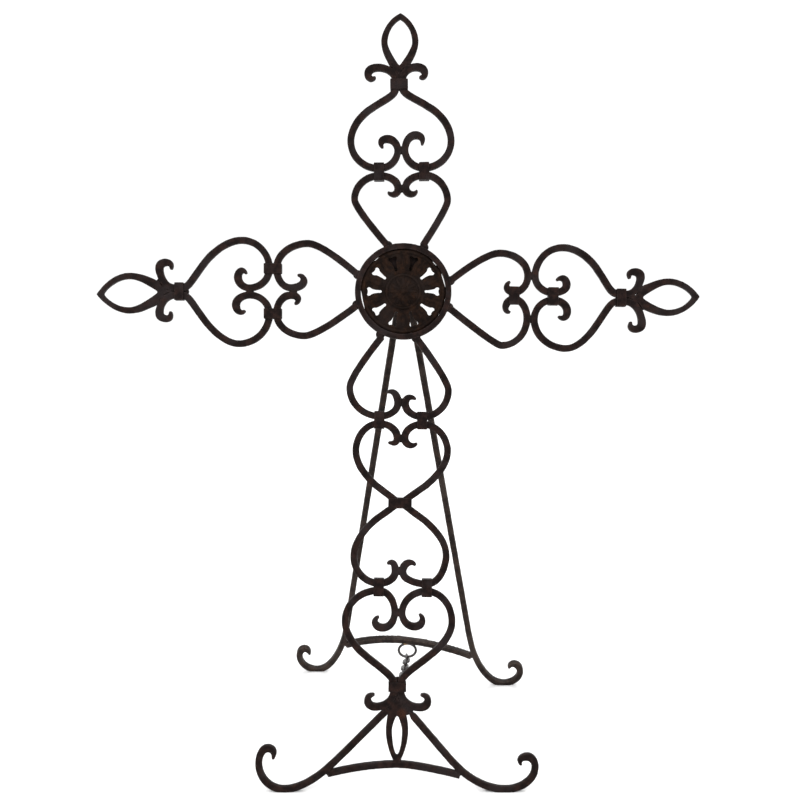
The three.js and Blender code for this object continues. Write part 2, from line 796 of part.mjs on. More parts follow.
function buildStem() {
  const matrix = armMatrix(STEM.turn);
  const { upper, waist, lower, curls } = STEM;
  const names = BAR_SIDES.bottom;
  const hub = SIDES.map((side) => {
    const stations = hubBar(upper.inner, upper.junction, side, 0);
    return forgeBar(stations, matrix, scrollHalfWidth);
  });
  const middle = SIDES.map((side) => (
    forgeBar(waistBar(side), matrix, scrollHalfWidth, scrollHalfWidth)
  ));
  const low = SIDES.map((side) => {
    const stations = outerBar(lower.outer, curls, LOWER_JUNCTION, side, 0);
    return forgeBar(stations, matrix, scrollHalfWidth, scrollHalfWidth);
  });
  SIDES.forEach((side, i) => {
    const near = pressed(hub[i].bar, upper.junction, upper.inner, -1, side, 0, matrix);
    const waisted = pressed(middle[i].bar, upper.junction, upper.outer, 1, side, 0, matrix);
    const long = pressed(waisted, LOWER_JUNCTION, lower.inner, -1, side, 0, matrix);
    const far = pressed(low[i].bar, LOWER_JUNCTION, lower.outer, 1, side, 0, matrix);
    addMesh(panel, `stem_hub_scroll_${names[i]}`, geometryOf(without(near, ringRoom)), iron);
    addMesh(panel, `stem_waist_scroll_${names[i]}`, geometryOf(long), iron);
    addMesh(panel, `stem_foot_scroll_${names[i]}`, geometryOf(far), iron);
  });

  const rooms = [...hub, ...middle, ...low].map(({ room }) => room);
  SIDES.forEach((side, i) => {
    const joints = [
      ['upper', upper.junction, upper.inner.foot],
      ['lower', LOWER_JUNCTION, lower.inner.foot],
    ];
    for (const [level, z, foot] of joints) {
      const collar = strap(COLLAR.length, STRAP_HEIGHT, side * pick(foot, side), z, matrix, rooms);
      addMesh(panel, `stem_${level}_collar_${names[i]}`, geometryOf(collar), iron);
    }
  });
  const waistCollar = strap(waist.collarWidth, waist.collarHeight, 0, WAIST_REACH, matrix, rooms);
  addMesh(panel, 'waist_collar', geometryOf(waistCollar), iron);

  const neckMiddle = NECK_REACH + curls.collar / 2;
  const neckCollar = strap(STRAP_HEIGHT, curls.collar, 0, neckMiddle, matrix, rooms);
  addMesh(panel, 'neck_collar', geometryOf(neckCollar), iron);

  const floor = floorCutter();
  const still = new THREE.Matrix4();
  const legs = [['left', -1], ['right', 1]].map(([side, sign]) => {
    const leg = LEGS[side];
    const topWidth = leg.drawn ? drawnHalfWidth : plain;
    const forged = forgeBar(frontLeg(leg, sign), still, topWidth, scrollHalfWidth);
    const cut = without(forged.bar, floor, ...rooms);
    addMesh(panel, `front_leg_${side}`, geometryOf(cut), iron);
    return forged;
  });
  const legRooms = legs.map(({ room }) => room);
  const arch = forgeBar(frontArch(), still);
  addMesh(panel, 'front_arch', geometryOf(without(arch.bar, ...legRooms)), iron);

  const length = NECK_HEIGHT - FRONT_ARCH.crown.height + curls.almond.lap;
  const loop = almondSlab(curls.almond, length, NECK_REACH + curls.collar, 0);
  const foot = without(solid(loop.applyMatrix4(matrix)), ...rooms, ...legRooms, arch.room);
  addMesh(panel, 'foot_almond', geometryOf(foot), iron);
  return new THREE.Vector3(0, 0, neckMiddle).applyMatrix4(matrix);
}

// Hinge

const PIN = new THREE.Vector3(
  HUB_SHIFT + REAR.pinShift,
  REAR.pinBack,
  HUB_HEIGHT + REAR.pinRise,
);

function buildHinge(rear) {
  const bore = solid(roundBar(HINGE.pin + GAP, 2 * HINGE.width, PIN.x, PIN.y, PIN.z));
  const opening = HINGE.width - 2 * HINGE.knuckle;
  const swing = solid(roundBar(HINGE.barrel + GAP, opening, PIN.x, PIN.y, PIN.z));
  const leafFront = RING_DEPTH / 2 + GAP;
  const leaf = solid(box(
    HINGE.width,
    HINGE.plate,
    HINGE.above,
    PIN.x,
    leafFront + HINGE.plate / 2,
    PIN.z + HINGE.above / 2,
  ));
  const offset = (HINGE.width - HINGE.knuckle) / 2;
  const knuckles = SIDES.map((side) => (
    solid(roundBar(HINGE.barrel, HINGE.knuckle, PIN.x + side * offset, PIN.y, PIN.z))
  ));
  const fixed = without(leaf.add(knuckles[0]).add(knuckles[1]), bore, swing);
  addMesh(panel, 'hinge_leaf', geometryOf(fixed), iron);
  addMesh(panel, 'hinge_pin', roundBar(HINGE.pin, HINGE.width, PIN.x, PIN.y, PIN.z), iron);

  const width = opening - 2 * GAP;
  const barrel = solid(roundBar(HINGE.barrel, width, 0, 0, 0));
  const tongueLength = REAR.legTop - GAP;
  const tongue = solid(box(width, HINGE.tongue, tongueLength, 0, 0, -tongueLength / 2));
  const hole = solid(roundBar(HINGE.pin + GAP, 2 * width, 0, 0, 0));
  addMesh(rear, 'rear_hinge_leaf', geometryOf(without(barrel.add(tongue), hole)), rearIron);
}

// Rear frame

const PIN_WORLD = PIN.clone().applyEuler(new THREE.Euler(-radians(LEAN), 0, 0));

/** Drop from the pin to the floor along a leg that leans back by an angle. */
function dropToFloor(angle) {
  return PIN_WORLD.z / Math.cos(radians(angle));
}

/** How far out a rear leg's straight run is at a drop. */
function rearLegSide(leg, drop) {
  const slope = Math.tan(radians(leg.slope));
  const partingSide = TOUCH + (REAR.parting - REAR.legTop) * slope * REAR.partingShare;
  return partingSide + (drop - REAR.parting) * slope;
}

function rearLeg(leg, sign, floorDrop) {
  const spot = (side, drop, heading, steps) => ({ side, drop, heading, steps });
  const beyond = ({ out, rise }, heading, steps) => (
    spot(leg.foot + out, floorDrop - rise, heading, steps)
  );
  const straight = floorDrop - leg.straight;
  return legStations([
    spot(TOUCH, REAR.legTop, 0, 0),
    spot(rearLegSide(leg, REAR.parting), REAR.parting, leg.slope, 3),
    spot(rearLegSide(leg, straight), straight, leg.slope, 1),
    spot(leg.foot, floorDrop - BAR / 2 + FOOT_FLAT, 90, 6),
    beyond(leg.heel, 180, 4),
    beyond(leg.curl, 270, 4),
    beyond(leg.tip, leg.tip.heading, 3),
  ], sign);
}

function buildRear() {
  const rear = new THREE.Group();
  rear.position.copy(PIN_WORLD);
  rear.rotation.x = radians(REAR.spread);
  model.add(rear);
  const still = new THREE.Matrix4();
  const legRooms = [['left', -1], ['right', 1]].map(([side, sign]) => {
    const angle = REAR.spread - sign * REAR.twist;
    const turn = new THREE.Matrix4().makeRotationX(-sign * radians(REAR.twist));
    const stations = rearLeg(REAR_LEGS[side], sign, dropToFloor(angle));
    const forged = forgeBar(stations, still, plain, scrollHalfWidth);
    const leg = without(forged.bar, floorBelow(angle)).transform(turn.elements);
    addMesh(rear, `rear_leg_${side}`, geometryOf(leg), rearIron);
    return forged.room.transform(turn.elements);
  });
  buildRearArch(rear, legRooms);
  buildHinge(rear);
  return rear;
}

/** The floor as a cutter in the frame of a leg that leans back by an angle. */
function floorBelow(angle) {
  const block = box(FLOOR_SIZE, FLOOR_SIZE, FLOOR_SIZE, 0, 0, -FLOOR_SIZE / 2);
  return solid(block.rotateX(-radians(angle)).translate(0, 0, -dropToFloor(angle)));
}

/** Where the rear arch starts, crests and ends, as side and drop. */
function rearArchSpots() {
  const floorDrop = dropToFloor(REAR.spread);
  const end = (name, sign) => {
    const drop = floorDrop - REAR_ARCH[name].rise;
    return { side: sign * rearLegSide(REAR_LEGS[name], drop), drop };
  };
  const { side, rise } = REAR_ARCH.crown;
  return { left: end('left', -1), crown: { side, drop: floorDrop - rise }, right: end('right', 1) };
}

/** The rear arch. Its ends lie on the twisted legs, so it is twisted with them. */
function buildRearArch(rear, legRooms) {
  const { left, right } = rearArchSpots();
  const line = Array.from({ length: REAR_ARCH.steps + 1 }, (_, i) => {
    const { short, steps } = REAR_ARCH;
    const side = THREE.MathUtils.lerp(left.side + short, right.side - short, i / steps);
    return new THREE.Vector2(side, -archDropAt(side));
  });
  const geometry = slab(barOutline(line, plain, plain), BAR);
  const position = geometry.attributes.position;
  const middle = (right.side + left.side) / 2;
  const reach = (right.side - left.side) / 2;
  for (let i = 0; i < position.count; i += 1) {
    const share = (position.getX(i) - middle) / reach;
    const turn = -radians(REAR.twist) * share;
    const y = position.getY(i);
    const z = position.getZ(i);
    position.setY(i, y * Math.cos(turn) - z * Math.sin(turn));
    position.setZ(i, y * Math.sin(turn) + z * Math.cos(turn));
  }
  addMesh(rear, 'rear_arch', geometryOf(without(solid(geometry), ...legRooms)), rearIron);
}

// Chain

/** A torus of wire in the plane of x and z. */
function wireRing(radius, thickness, around, sides) {
  return new THREE.TorusGeometry(radius, thickness / 2, sides, around).rotateX(Math.PI / 2);
}

/** A long link of wire, with its length along x and its width along z. */
function linkGeometry(innerLength) {
  const radius = (CHAIN.width - CHAIN.wire) / 2;
  const stretch = (innerLength + CHAIN.wire) / 2 - radius;
  const around = 10; // a multiple of two, so the link has two straight sides
  const geometry = wireRing(radius, CHAIN.wire, around, 4).rotateY(Math.PI / around);
  const position = geometry.attributes.position;
  for (let i = 0; i < position.count; i += 1) {
    position.setX(i, position.getX(i) + Math.sign(position.getX(i)) * stretch);
  }
  return geometry;
}

function buildChain(rear, neckPoint) {
  const { radius, wire: thick, side } = PULL_RING;
  const top = new THREE.Vector3(side, 0, -archDropAt(side) - BAR / 2 - GAP - thick / 2);
  const tilt = radians(PULL_RING.tilt);
  const hang = new THREE.Vector3(0, -Math.sin(tilt), -Math.cos(tilt));
  const ring = addMesh(rear, 'pull_ring', wireRing(radius, thick, 18, 5), wire);
  ring.position.copy(top).addScaledVector(hang, radius);
  ring.rotation.x = -tilt;

  const eyeBack = BAR / 2 + COLLAR.wall + GAP + CHAIN.wire / 2;
  const eyeRing = wireRing(CHAIN.eyeRadius, CHAIN.wire, 12, 5).rotateZ(Math.PI / 2);
  const eye = addMesh(panel, 'chain_eye', eyeRing, wire);
  eye.position.copy(neckPoint);
  eye.position.x += CHAIN.eyeShift;
  eye.position.y += eyeBack + CHAIN.eyeRadius;

  model.updateMatrixWorld(true);
  const from = top.clone().addScaledVector(hang, 2 * radius).applyMatrix4(rear.matrixWorld);
  const to = eye.position.clone().setY(eye.position.y + CHAIN.eyeRadius).applyMatrix4(panel.matrixWorld);
  const along = to.clone().sub(from);
  const span = along.length();
  const innerLength = (span + CHAIN.wire + 2 * GAP + (CHAIN.links - 1) * GAP) / CHAIN.links;
  const pitch = innerLength - GAP;
  along.normalize();
  const lengthwise = new THREE.Vector3(1, 0, 0);
  const facing = new THREE.Quaternion().setFromUnitVectors(lengthwise, along);
  for (let i = 0; i < CHAIN.links; i += 1) {
    const link = addMesh(model, `chain_link_${i + 1}`, linkGeometry(innerLength), wire);
    const distance = innerLength / 2 - CHAIN.wire / 2 - GAP + i * pitch;
    link.position.copy(from).addScaledVector(along, distance);
    const roll = (i % 2) * (Math.PI / 2);
    link.quaternion.copy(facing).multiply(new THREE.Quaternion().setFromAxisAngle(lengthwise, roll));
  }
}

/** Drop of the rear arch's middle line at a place along it. */
function archDropAt(side) {
  const { left, crown, right } = rearArchSpots();
  const end = side < crown.side ? left : right;
  const share = (side - crown.side) / (end.side - crown.side);
  return crown.drop + (end.drop - crown.drop) * share * share;
}

buildRing();
buildRosette();
buildArm('top', ARMS.top);
buildArm('left', ARMS.left);
buildArm('right', ARMS.right);
const neckPoint = buildStem();
const rearFrame = buildRear();
buildChain(rearFrame, neckPoint);

// The origin is on the floor, under the middle of the cross's outline.
model.updateMatrixWorld(true);
const bounds = new THREE.Box3().setFromObject(model, true);
const middle = bounds.getCenter(new THREE.Vector3());
model.position.set(-middle.x, -middle.y, -bounds.min.z);

export default model;
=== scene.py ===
"""Dresses a standing wrought iron scroll cross on the solids that carry it.

The bars are forged again from the solids' outlines, with eased edges, swollen scroll ends and
a hammered surface. The cast rosette, the collars, the hinge, the chain and the welds get the
relief that plain solids leave out. All lengths are in metres unless a name says otherwise.
"""

import json
import logging
import math
from dataclasses import dataclass, field
from enum import Enum
from itertools import combinations

import bmesh
import bpy
import numpy as np
from mathutils import Matrix, Vector
from mathutils.bvhtree import BVHTree

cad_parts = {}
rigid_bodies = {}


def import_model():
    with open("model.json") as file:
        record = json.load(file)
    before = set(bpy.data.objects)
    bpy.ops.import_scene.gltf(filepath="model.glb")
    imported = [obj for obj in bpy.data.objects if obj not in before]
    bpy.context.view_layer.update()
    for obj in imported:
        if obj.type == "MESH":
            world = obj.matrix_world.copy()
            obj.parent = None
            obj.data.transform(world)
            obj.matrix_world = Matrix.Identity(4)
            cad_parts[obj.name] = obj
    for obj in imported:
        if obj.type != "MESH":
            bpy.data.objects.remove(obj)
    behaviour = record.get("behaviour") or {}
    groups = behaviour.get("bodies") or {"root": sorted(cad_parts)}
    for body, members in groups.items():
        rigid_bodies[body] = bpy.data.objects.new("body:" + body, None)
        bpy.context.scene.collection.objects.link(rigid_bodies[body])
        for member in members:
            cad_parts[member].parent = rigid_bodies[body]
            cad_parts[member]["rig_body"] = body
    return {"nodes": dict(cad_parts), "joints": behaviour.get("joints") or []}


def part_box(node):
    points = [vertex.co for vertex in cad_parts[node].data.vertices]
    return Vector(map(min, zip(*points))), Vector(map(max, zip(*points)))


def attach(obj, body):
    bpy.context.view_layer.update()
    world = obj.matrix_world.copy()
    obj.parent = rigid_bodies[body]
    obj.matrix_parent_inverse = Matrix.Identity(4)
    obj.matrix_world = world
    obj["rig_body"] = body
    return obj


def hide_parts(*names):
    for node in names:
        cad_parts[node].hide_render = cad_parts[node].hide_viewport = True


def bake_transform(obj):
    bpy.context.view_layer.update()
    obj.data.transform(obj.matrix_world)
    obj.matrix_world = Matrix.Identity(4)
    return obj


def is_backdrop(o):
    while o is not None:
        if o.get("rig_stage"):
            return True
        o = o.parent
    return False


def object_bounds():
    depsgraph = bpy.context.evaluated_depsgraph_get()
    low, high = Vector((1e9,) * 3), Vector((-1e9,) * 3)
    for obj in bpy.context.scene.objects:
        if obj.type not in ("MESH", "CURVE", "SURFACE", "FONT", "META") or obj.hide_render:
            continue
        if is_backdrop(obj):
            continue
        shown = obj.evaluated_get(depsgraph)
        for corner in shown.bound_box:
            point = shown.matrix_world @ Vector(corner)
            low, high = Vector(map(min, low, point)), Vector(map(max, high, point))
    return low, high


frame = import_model()

LOG = logging.getLogger("scroll_cross")
MM = 0.001
MERGE = 0.01 * MM  # points nearer than this are one point
PANEL_LEAN = math.radians(-12)
Colour = tuple[float, float, float]
Loop = list[tuple[Vector, bool]]

EASEL_BACK = "easel_back"


class Face(Enum):
    """Which broad face of a flat piece its outline is read from."""

    FRONT = -1
    BACK = 1


class Slot(Enum):
    """The record's material slots."""

    IRON = "iron"
    CAST_IRON = "cast_iron"
    # The rear frame gets a lighter copy of the iron: painted light, for the light that falls more
    # on it.
    REAR_IRON = "rear_iron"
    WIRE = "wire"


# Shader maths


class Value:
    """A number that varies over a surface, so that shader maths reads as an expression."""

    def __init__(self, surface: "Surface", socket: bpy.types.NodeSocket) -> None:
        """Wraps an output socket of a surface's node tree."""
        self.surface = surface
        self.socket = socket

    def _with(self, operation: str, first: "Value | float", second: "Value | float") -> "Value":
        """Adds one Math node.

        Args:
            operation: The Math node's operation.
            first: Its first term.
            second: Its second term.

        Returns:
            The node's result.
        """
        return self.surface.value(
            "ShaderNodeMath", {"operation": operation}, {0: first, 1: second}, 0
        )

    def __add__(self, other: "Value | float") -> "Value":
        """The sum."""
        return self._with("ADD", self, other)

    def __radd__(self, other: float) -> "Value":
        """The sum, number first."""
        return self._with("ADD", other, self)

    def __sub__(self, other: "Value | float") -> "Value":
        """The difference."""
        return self._with("SUBTRACT", self, other)

    def __rsub__(self, other: float) -> "Value":
        """The difference, number first."""
        return self._with("SUBTRACT", other, self)

    def __mul__(self, other: "Value | float") -> "Value":
        """The product."""
        return self._with("MULTIPLY", self, other)

    def __rmul__(self, other: float) -> "Value":
        """The product, number first."""
        return self._with("MULTIPLY", other, self)

    def between(self, low: float, high: float) -> "Value":
        """Rises softly from 0 at low to 1 at high.

        Args:
            low: Where it is still 0.
            high: Where it has reached 1.

        Returns:
            The eased share.
        """
        settings = {"interpolation_type": "SMOOTHSTEP"}
        sockets = {"Value": self, "From Min": low, "From Max": high, "To Min": 0.0, "To Max": 1.0}
        return self.surface.value("ShaderNodeMapRange", settings, sockets, "Result")


class Surface:
    """The node tree of one material."""

    def __init__(self, name: str) -> None:
        """Starts a material with its shader.

        Args:
            name: The material's name.
        """
        self.material = bpy.data.materials.new(name)
        self.material.use_nodes = True
        self.tree = self.material.node_tree
        self.shader = next(n for n in self.tree.nodes if n.type == "BSDF_PRINCIPLED")
        place = self.node("ShaderNodeTexCoord", {}, {})
        self.place = place.outputs["Object"]

    def node(self, kind: str, settings: dict, sockets: dict) -> bpy.types.Node:
        """Adds a node, sets its settings first and then its sockets.

        Args:
            kind: The node's type name.
            settings: Attribute names and values.
            sockets: Input names or numbers, each with a value or a link.

        Returns:
            The node.
        """
        node = self.tree.nodes.new(kind)
        for name, setting in settings.items():
            setattr(node, name, setting)
        for name, given in sockets.items():
            self.feed(node.inputs[name], given)
        return node

    def feed(self, socket: bpy.types.NodeSocket, given: object) -> None:
        """Links or sets one input socket.

        Args:
            socket: The input.
            given: A value or a socket to link, or a colour or a number to set.
        """
        if isinstance(given, Value):
            self.tree.links.new(given.socket, socket)
        elif isinstance(given, bpy.types.NodeSocket):
            self.tree.links.new(given, socket)
        elif isinstance(given, tuple) and socket.type == "RGBA":
            socket.default_value = (*given, 1.0)
        else:
            socket.default_value = given

    def value(self, kind: str, settings: dict, sockets: dict, output: str | int) -> Value:
        """Adds a node and wraps one of its outputs.

        Args:
            kind: The node's type name.
            settings: Attribute names and values.
            sockets: Input names or numbers, each with a value or a link.
            output: The output's name or number.

        Returns:
            That output as a value.
        """
        return Value(self, self.node(kind, settings, sockets).outputs[output])

    def noise(self, size: float, detail: float = 3.0, rough: float = 0.55) -> Value:
        """Soft random patches.

        Args:
            size: Their size in metres.
            detail: How many finer layers lie on them.
            rough: How strong those are.

        Returns:
            A value around 0.5.
        """
        sockets = {"Vector": self.place, "Scale": 1 / size, "Detail": detail, "Roughness": rough}
        return self.value("ShaderNodeTexNoise", {}, sockets, 0)

    def pits(self, size: float) -> Value:
        """Round pits a size apart, 0 in their middle."""
        sockets = {"Vector": self.place, "Scale": 1 / size}
        return self.value("ShaderNodeTexVoronoi", {"feature": "F1"}, sockets, "Distance")

    def near(self, spot: Vector, inner: float, outer: float) -> Value:
        """A soft ball around a point.

        Args:
            spot: Its middle.
            inner: The radius inside which the value is 1.
            outer: The radius outside which it is 0.

        Returns:
            The ball's share.
        """
        sockets = {0: self.place, 1: tuple(spot)}
        settings = {"operation": "DISTANCE"}
        away = self.value("ShaderNodeVectorMath", settings, sockets, "Value")
        return 1 - away.between(inner, outer)

    def mix(self, share: Value, first: object, second: object) -> bpy.types.NodeSocket:
        """Mixes two colours.

        Args:
            share: 0 for the first, 1 for the second.
            first: A colour or a link.
            second: A colour or a link.

        Returns:
            The mixed colour's socket.
        """
        # Inputs 6 and 7 and output 2 are the ones for colours.
        settings = {"data_type": "RGBA", "clamp_factor": True}
        return self.node("ShaderNodeMix", settings, {0: share, 6: first, 7: second}).outputs[2]

    def bump(self, height: Value, distance: float, strength: float) -> None:
        """Feeds the shader's normal with a relief.

        Args:
            height: The relief, 0 to 1.
            distance: Its depth in metres.
            strength: Its share.
        """
        sockets = {"Height": height, "Distance": distance, "Strength": strength}
        bump = self.node("ShaderNodeBump", {}, sockets)
        self.tree.links.new(bump.outputs["Normal"], self.shader.inputs["Normal"])

    def shade(self, **sockets: object) -> None:
        """Sets or links the shader's own sockets, named with underscores for spaces."""
        for name, given in sockets.items():
            self.feed(self.shader.inputs[name.replace("_", " ")], given)


@dataclass(frozen=True)
class RustSpot:
    """A place where rust has come through."""

    place: Vector
    radius: float
    strength: float


@dataclass(frozen=True)
class IronFinish:
    """Dark, finely grained iron with brown patches, rust, rubbed edges and darker pits.

    The sizes are those of its broad and small patches, its grain and its pits, and grain is
    the depth of the relief that they make.
    """

    name: str
    dark: Colour
    brown: Colour
    grey: Colour
    rust: Colour
    rust_share: float
    rubbed: Colour
    roughness: float
    grain: float
    metallic: float
    shine: float
    spots: tuple[RustSpot, ...] = ()
    broad_size: float = 26 * MM
    patch_size: float = 7 * MM
    grain_size: float = 1.1 * MM
    pit_size: float = 1.9 * MM

    def material(self) -> bpy.types.Material:
        """Builds the material.

        Returns:
            The material with all its nodes.
        """
        surface = Surface(self.name)
        broad = surface.noise(self.broad_size)
        patches = surface.noise(self.patch_size, 4.0, 0.6)
        grain = surface.noise(self.grain_size, 3.0, 0.7)
        pits = surface.pits(self.pit_size)

        colour = surface.mix(patches.between(0.38, 0.66), self.dark, self.brown)
        colour = surface.mix(broad.between(0.46, 0.68) * 0.75, colour, self.grey)
        settled = patches * 0.5 + grain * 0.5
        edge = 0.62 - 0.3 * self.rust_share
        rusted = settled.between(edge, edge + 0.12) * (0.35 + 0.65 * self.rust_share)
        for spot in self.spots:
            ball = surface.near(spot.place, 0.3 * spot.radius, spot.radius)
            rusted = rusted + ball * grain.between(0.34, 0.56) * spot.strength
        colour = surface.mix(rusted, colour, self.rust)
        pointed = surface.value("ShaderNodeNewGeometry", {}, {}, "Pointiness")
        worn = pointed.between(0.515, 0.57) * grain.between(0.35, 0.6)
        colour = surface.mix(worn * 0.55, colour, self.rubbed)
        # The middles of the pits are made darker.
        sunk = 1 - pits.between(0.05, 0.42)
        colour = surface.mix(sunk * 0.35, colour, tuple(0.45 * c for c in self.dark))

        surface.shade(
            Base_Color=colour,
            Metallic=self.metallic,
            Roughness=self.roughness + 0.22 * grain - 0.16 * worn,
            Specular_IOR_Level=self.shine,
        )
        relief = grain * 0.6 + patches * 0.5 + pits.between(0.0, 0.5) * 0.35
        surface.bump(relief, self.grain, 0.85)
        return surface.material


@dataclass(frozen=True)
class WireFinish:
    """Bare drawn wire, dulled, with brown in its corners."""

    name: str
    steel: Colour
    tarnish: Colour
    roughness: float
    patch_size: float = 3 * MM
    grain_size: float = 0.5 * MM
    grain: float = 0.06 * MM

    def material(self) -> bpy.types.Material:
        """Builds the material.

        Returns:
            The material with all its nodes.
        """
        surface = Surface(self.name)
        patches = surface.noise(self.patch_size)
        grain = surface.noise(self.grain_size, 2.0)
        colour = surface.mix(patches.between(0.45, 0.7), self.steel, self.tarnish)
        surface.shade(
            Base_Color=colour, Metallic=0.85, Roughness=self.roughness + 0.25 * patches
        )
        surface.bump(grain, self.grain, 0.6)
        return surface.material


@dataclass(frozen=True)
class PlainFinish:
    """One matt colour, for the floor."""

    name: str
    colour: Colour

    def material(self) -> bpy.types.Material:
        """Builds the material.

        Returns:
            The material.
        """
        surface = Surface(self.name)
        surface.shade(Base_Color=self.colour, Roughness=0.9)
        return surface.material


# Workshop


@dataclass(frozen=True)
class WorkPlane:
    """The plane that a flat piece lies in: x across, y to the back, z up the piece.

    A piece may be twisted about x by an angle that grows evenly along it.
    """

    origin: Vector
    tilt: float
    twist: tuple[float, float] = (0.0, 0.0)

    def _turned(self, points: np.ndarray, way: int) -> np.ndarray:
        """Turns points about x by the twist at each of them.

        Args:
            points: Rows of points in the plane's frame.
            way: 1 to put the twist on, -1 to take it off.

        Returns:
            The turned points.
        """
        angle = way * np.polyval(self.twist, points[:, 0])
        sin, cos = np.sin(angle), np.cos(angle)
        y = points[:, 1] * cos - points[:, 2] * sin
        z = points[:, 1] * sin + points[:, 2] * cos
        return np.column_stack([points[:, 0], y, z])

    def flat(self, points: np.ndarray) -> np.ndarray:
        """Takes points from the row frame into the plane's frame."""
        turn = np.array(Matrix.Rotation(-self.tilt, 3, "X"))
        return self._turned((points - np.array(self.origin)) @ turn.T, -1)

    def placed(self, points: np.ndarray) -> np.ndarray:
        """Takes points from the plane's frame into the row frame."""
        turn = np.array(Matrix.Rotation(self.tilt, 3, "X"))
        return self._turned(points, 1) @ turn.T + np.array(self.origin)

    def spot(self, x: float, y: float, z: float) -> Vector:
        """One point of the plane's frame in the row frame."""
        return Vector(self.placed(np.array([[x, y, z]]))[0])


def points_of(mesh: bpy.types.Mesh) -> np.ndarray:
    """Reads a mesh's vertices.

    Args:
        mesh: The mesh.

    Returns:
        Their places as an array of rows.
    """
    points = np.empty(len(mesh.vertices) * 3)
    mesh.vertices.foreach_get("co", points)
    return points.reshape(-1, 3)


def set_points(mesh: bpy.types.Mesh, points: np.ndarray) -> None:
    """Writes an array of rows back as a mesh's vertices."""
    mesh.vertices.foreach_set("co", points.ravel())
    mesh.update()


class Bench:
    """Keeps the selection right while operators shape a piece."""

    @staticmethod
    def take(piece: bpy.types.Object, *others: bpy.types.Object) -> None:
        """Selects only these objects.

        Args:
            piece: The one that is made active.
            *others: Further ones.
        """
        for thing in bpy.context.selected_objects:
            thing.select_set(False)
        for thing in (piece, *others):
            thing.select_set(True)
        bpy.context.view_layer.objects.active = piece

    @staticmethod
    def finish(piece: bpy.types.Object, kind: str, **settings: object) -> None:
        """Adds a modifier with its settings and applies it.

        Args:
            piece: The object to change.
            kind: The modifier's type.
            **settings: Its attribute names and values.
        """
        Bench.take(piece)
        modifier = piece.modifiers.new(kind.title(), kind)
        for name, setting in settings.items():
            setattr(modifier, name, setting)
        bpy.ops.object.modifier_apply(modifier=modifier.name)

    @staticmethod
    def edit(piece: bpy.types.Object) -> None:
        """Opens a piece in edit mode with everything selected.

        Args:
            piece: The object to edit.
        """
        Bench.take(piece)
        bpy.ops.object.mode_set(mode="EDIT")
        bpy.ops.mesh.select_all(action="SELECT")

    @staticmethod
    def edit_faces(piece: bpy.types.Object, facing: Vector) -> None:
        """Opens a piece in edit mode with only the faces that look one way selected.

        Args:
            piece: The object to edit.
            facing: The way that the faces look.
        """
        Bench.edit(piece)
        bpy.ops.mesh.select_mode(type="FACE")
        bpy.ops.mesh.select_all(action="DESELECT")
        Bench.close()
        for polygon in piece.data.polygons:
            polygon.select = polygon.normal.dot(facing) > 0.9
        bpy.ops.object.mode_set(mode="EDIT")

    @staticmethod
    def close() -> None:
        """Goes back to object mode."""
        bpy.ops.object.mode_set(mode="OBJECT")

    @staticmethod
    def join(name: str, parts: list[bpy.types.Object]) -> bpy.types.Object:
        """Joins parts into one piece.

        Args:
            name: The joined piece's name.
            parts: The objects to join.

        Returns:
            The joined piece.
        """
        Bench.take(*parts)
        bpy.ops.object.join()
        parts[0].name = name
        return parts[0]

    @staticmethod
    def settle(piece: bpy.types.Object) -> None:
        """Moves a piece's place, turn and scale into its mesh."""
        Bench.take(piece)
        bpy.ops.object.transform_apply(location=True, rotation=True, scale=True)

    @staticmethod
    def copy_of(node: str, name: str) -> bpy.types.Object:
        """Copies a solid's mesh into a new piece with its loose triangles merged.

        Args:
            node: The solid's node.
            name: The piece's name.

        Returns:
            The new piece.
        """
        piece = bpy.data.objects.new(name, frame["nodes"][node].data.copy())
        bpy.context.scene.collection.objects.link(piece)
        Bench.edit(piece)
        bpy.ops.mesh.remove_doubles(threshold=MERGE)
        Bench.close()
        return piece


@dataclass
class Hammer:
    """Remakes a closed shape as even metal, eases its edges and marks it with blows.

    A mark goes more inward than outward, the more so the further inward is over a half.
    """

    voxel: float = 0.95 * MM
    easing: int = 3
    dent: float = 0.34 * MM
    dent_size: float = 9 * MM
    rough: float = 0.1 * MM
    rough_size: float = 1.6 * MM
    inward: float = 0.62
    textures: dict[float, bpy.types.Texture] = field(default_factory=dict)

    def clouds(self, size: float) -> bpy.types.Texture:
        """Makes a soft random relief, once for each size.

        Args:
            size: The size of its lumps.

        Returns:
            The relief.
        """
        if size not in self.textures:
            texture = bpy.data.textures.new(f"relief_{len(self.textures)}", "CLOUDS")
            texture.noise_scale = size
            texture.noise_depth = 1
            self.textures[size] = texture
        return self.textures[size]

    def remake(
        self, piece: bpy.types.Object, voxel: float | None = None, easing: int | None = None
    ) -> None:
        """Gives a closed shape an even mesh with eased edges.

        Args:
            piece: The closed shape.
            voxel: How fine its mesh is, where it isn't a bar's.
            easing: How often its edges are eased, where it isn't as a bar's.
        """
        Bench.finish(piece, "REMESH", mode="VOXEL", voxel_size=voxel or self.voxel)
        Bench.finish(piece, "SMOOTH", factor=0.5, iterations=easing or self.easing)

    def strike(self, piece: bpy.types.Object, share: float = 1.0) -> None:
        """Leaves hammer marks and scale, mostly inward so that the piece keeps its size.

        Args:
            piece: The piece to mark.
            share: How deep the marks are against a bar's.
        """
        for depth, size in ((self.dent, self.dent_size), (self.rough, self.rough_size)):
            Bench.finish(
                piece,
                "DISPLACE",
                texture=self.clouds(size),
                texture_coords="LOCAL",
                strength=depth * share,
                mid_level=self.inward,
            )


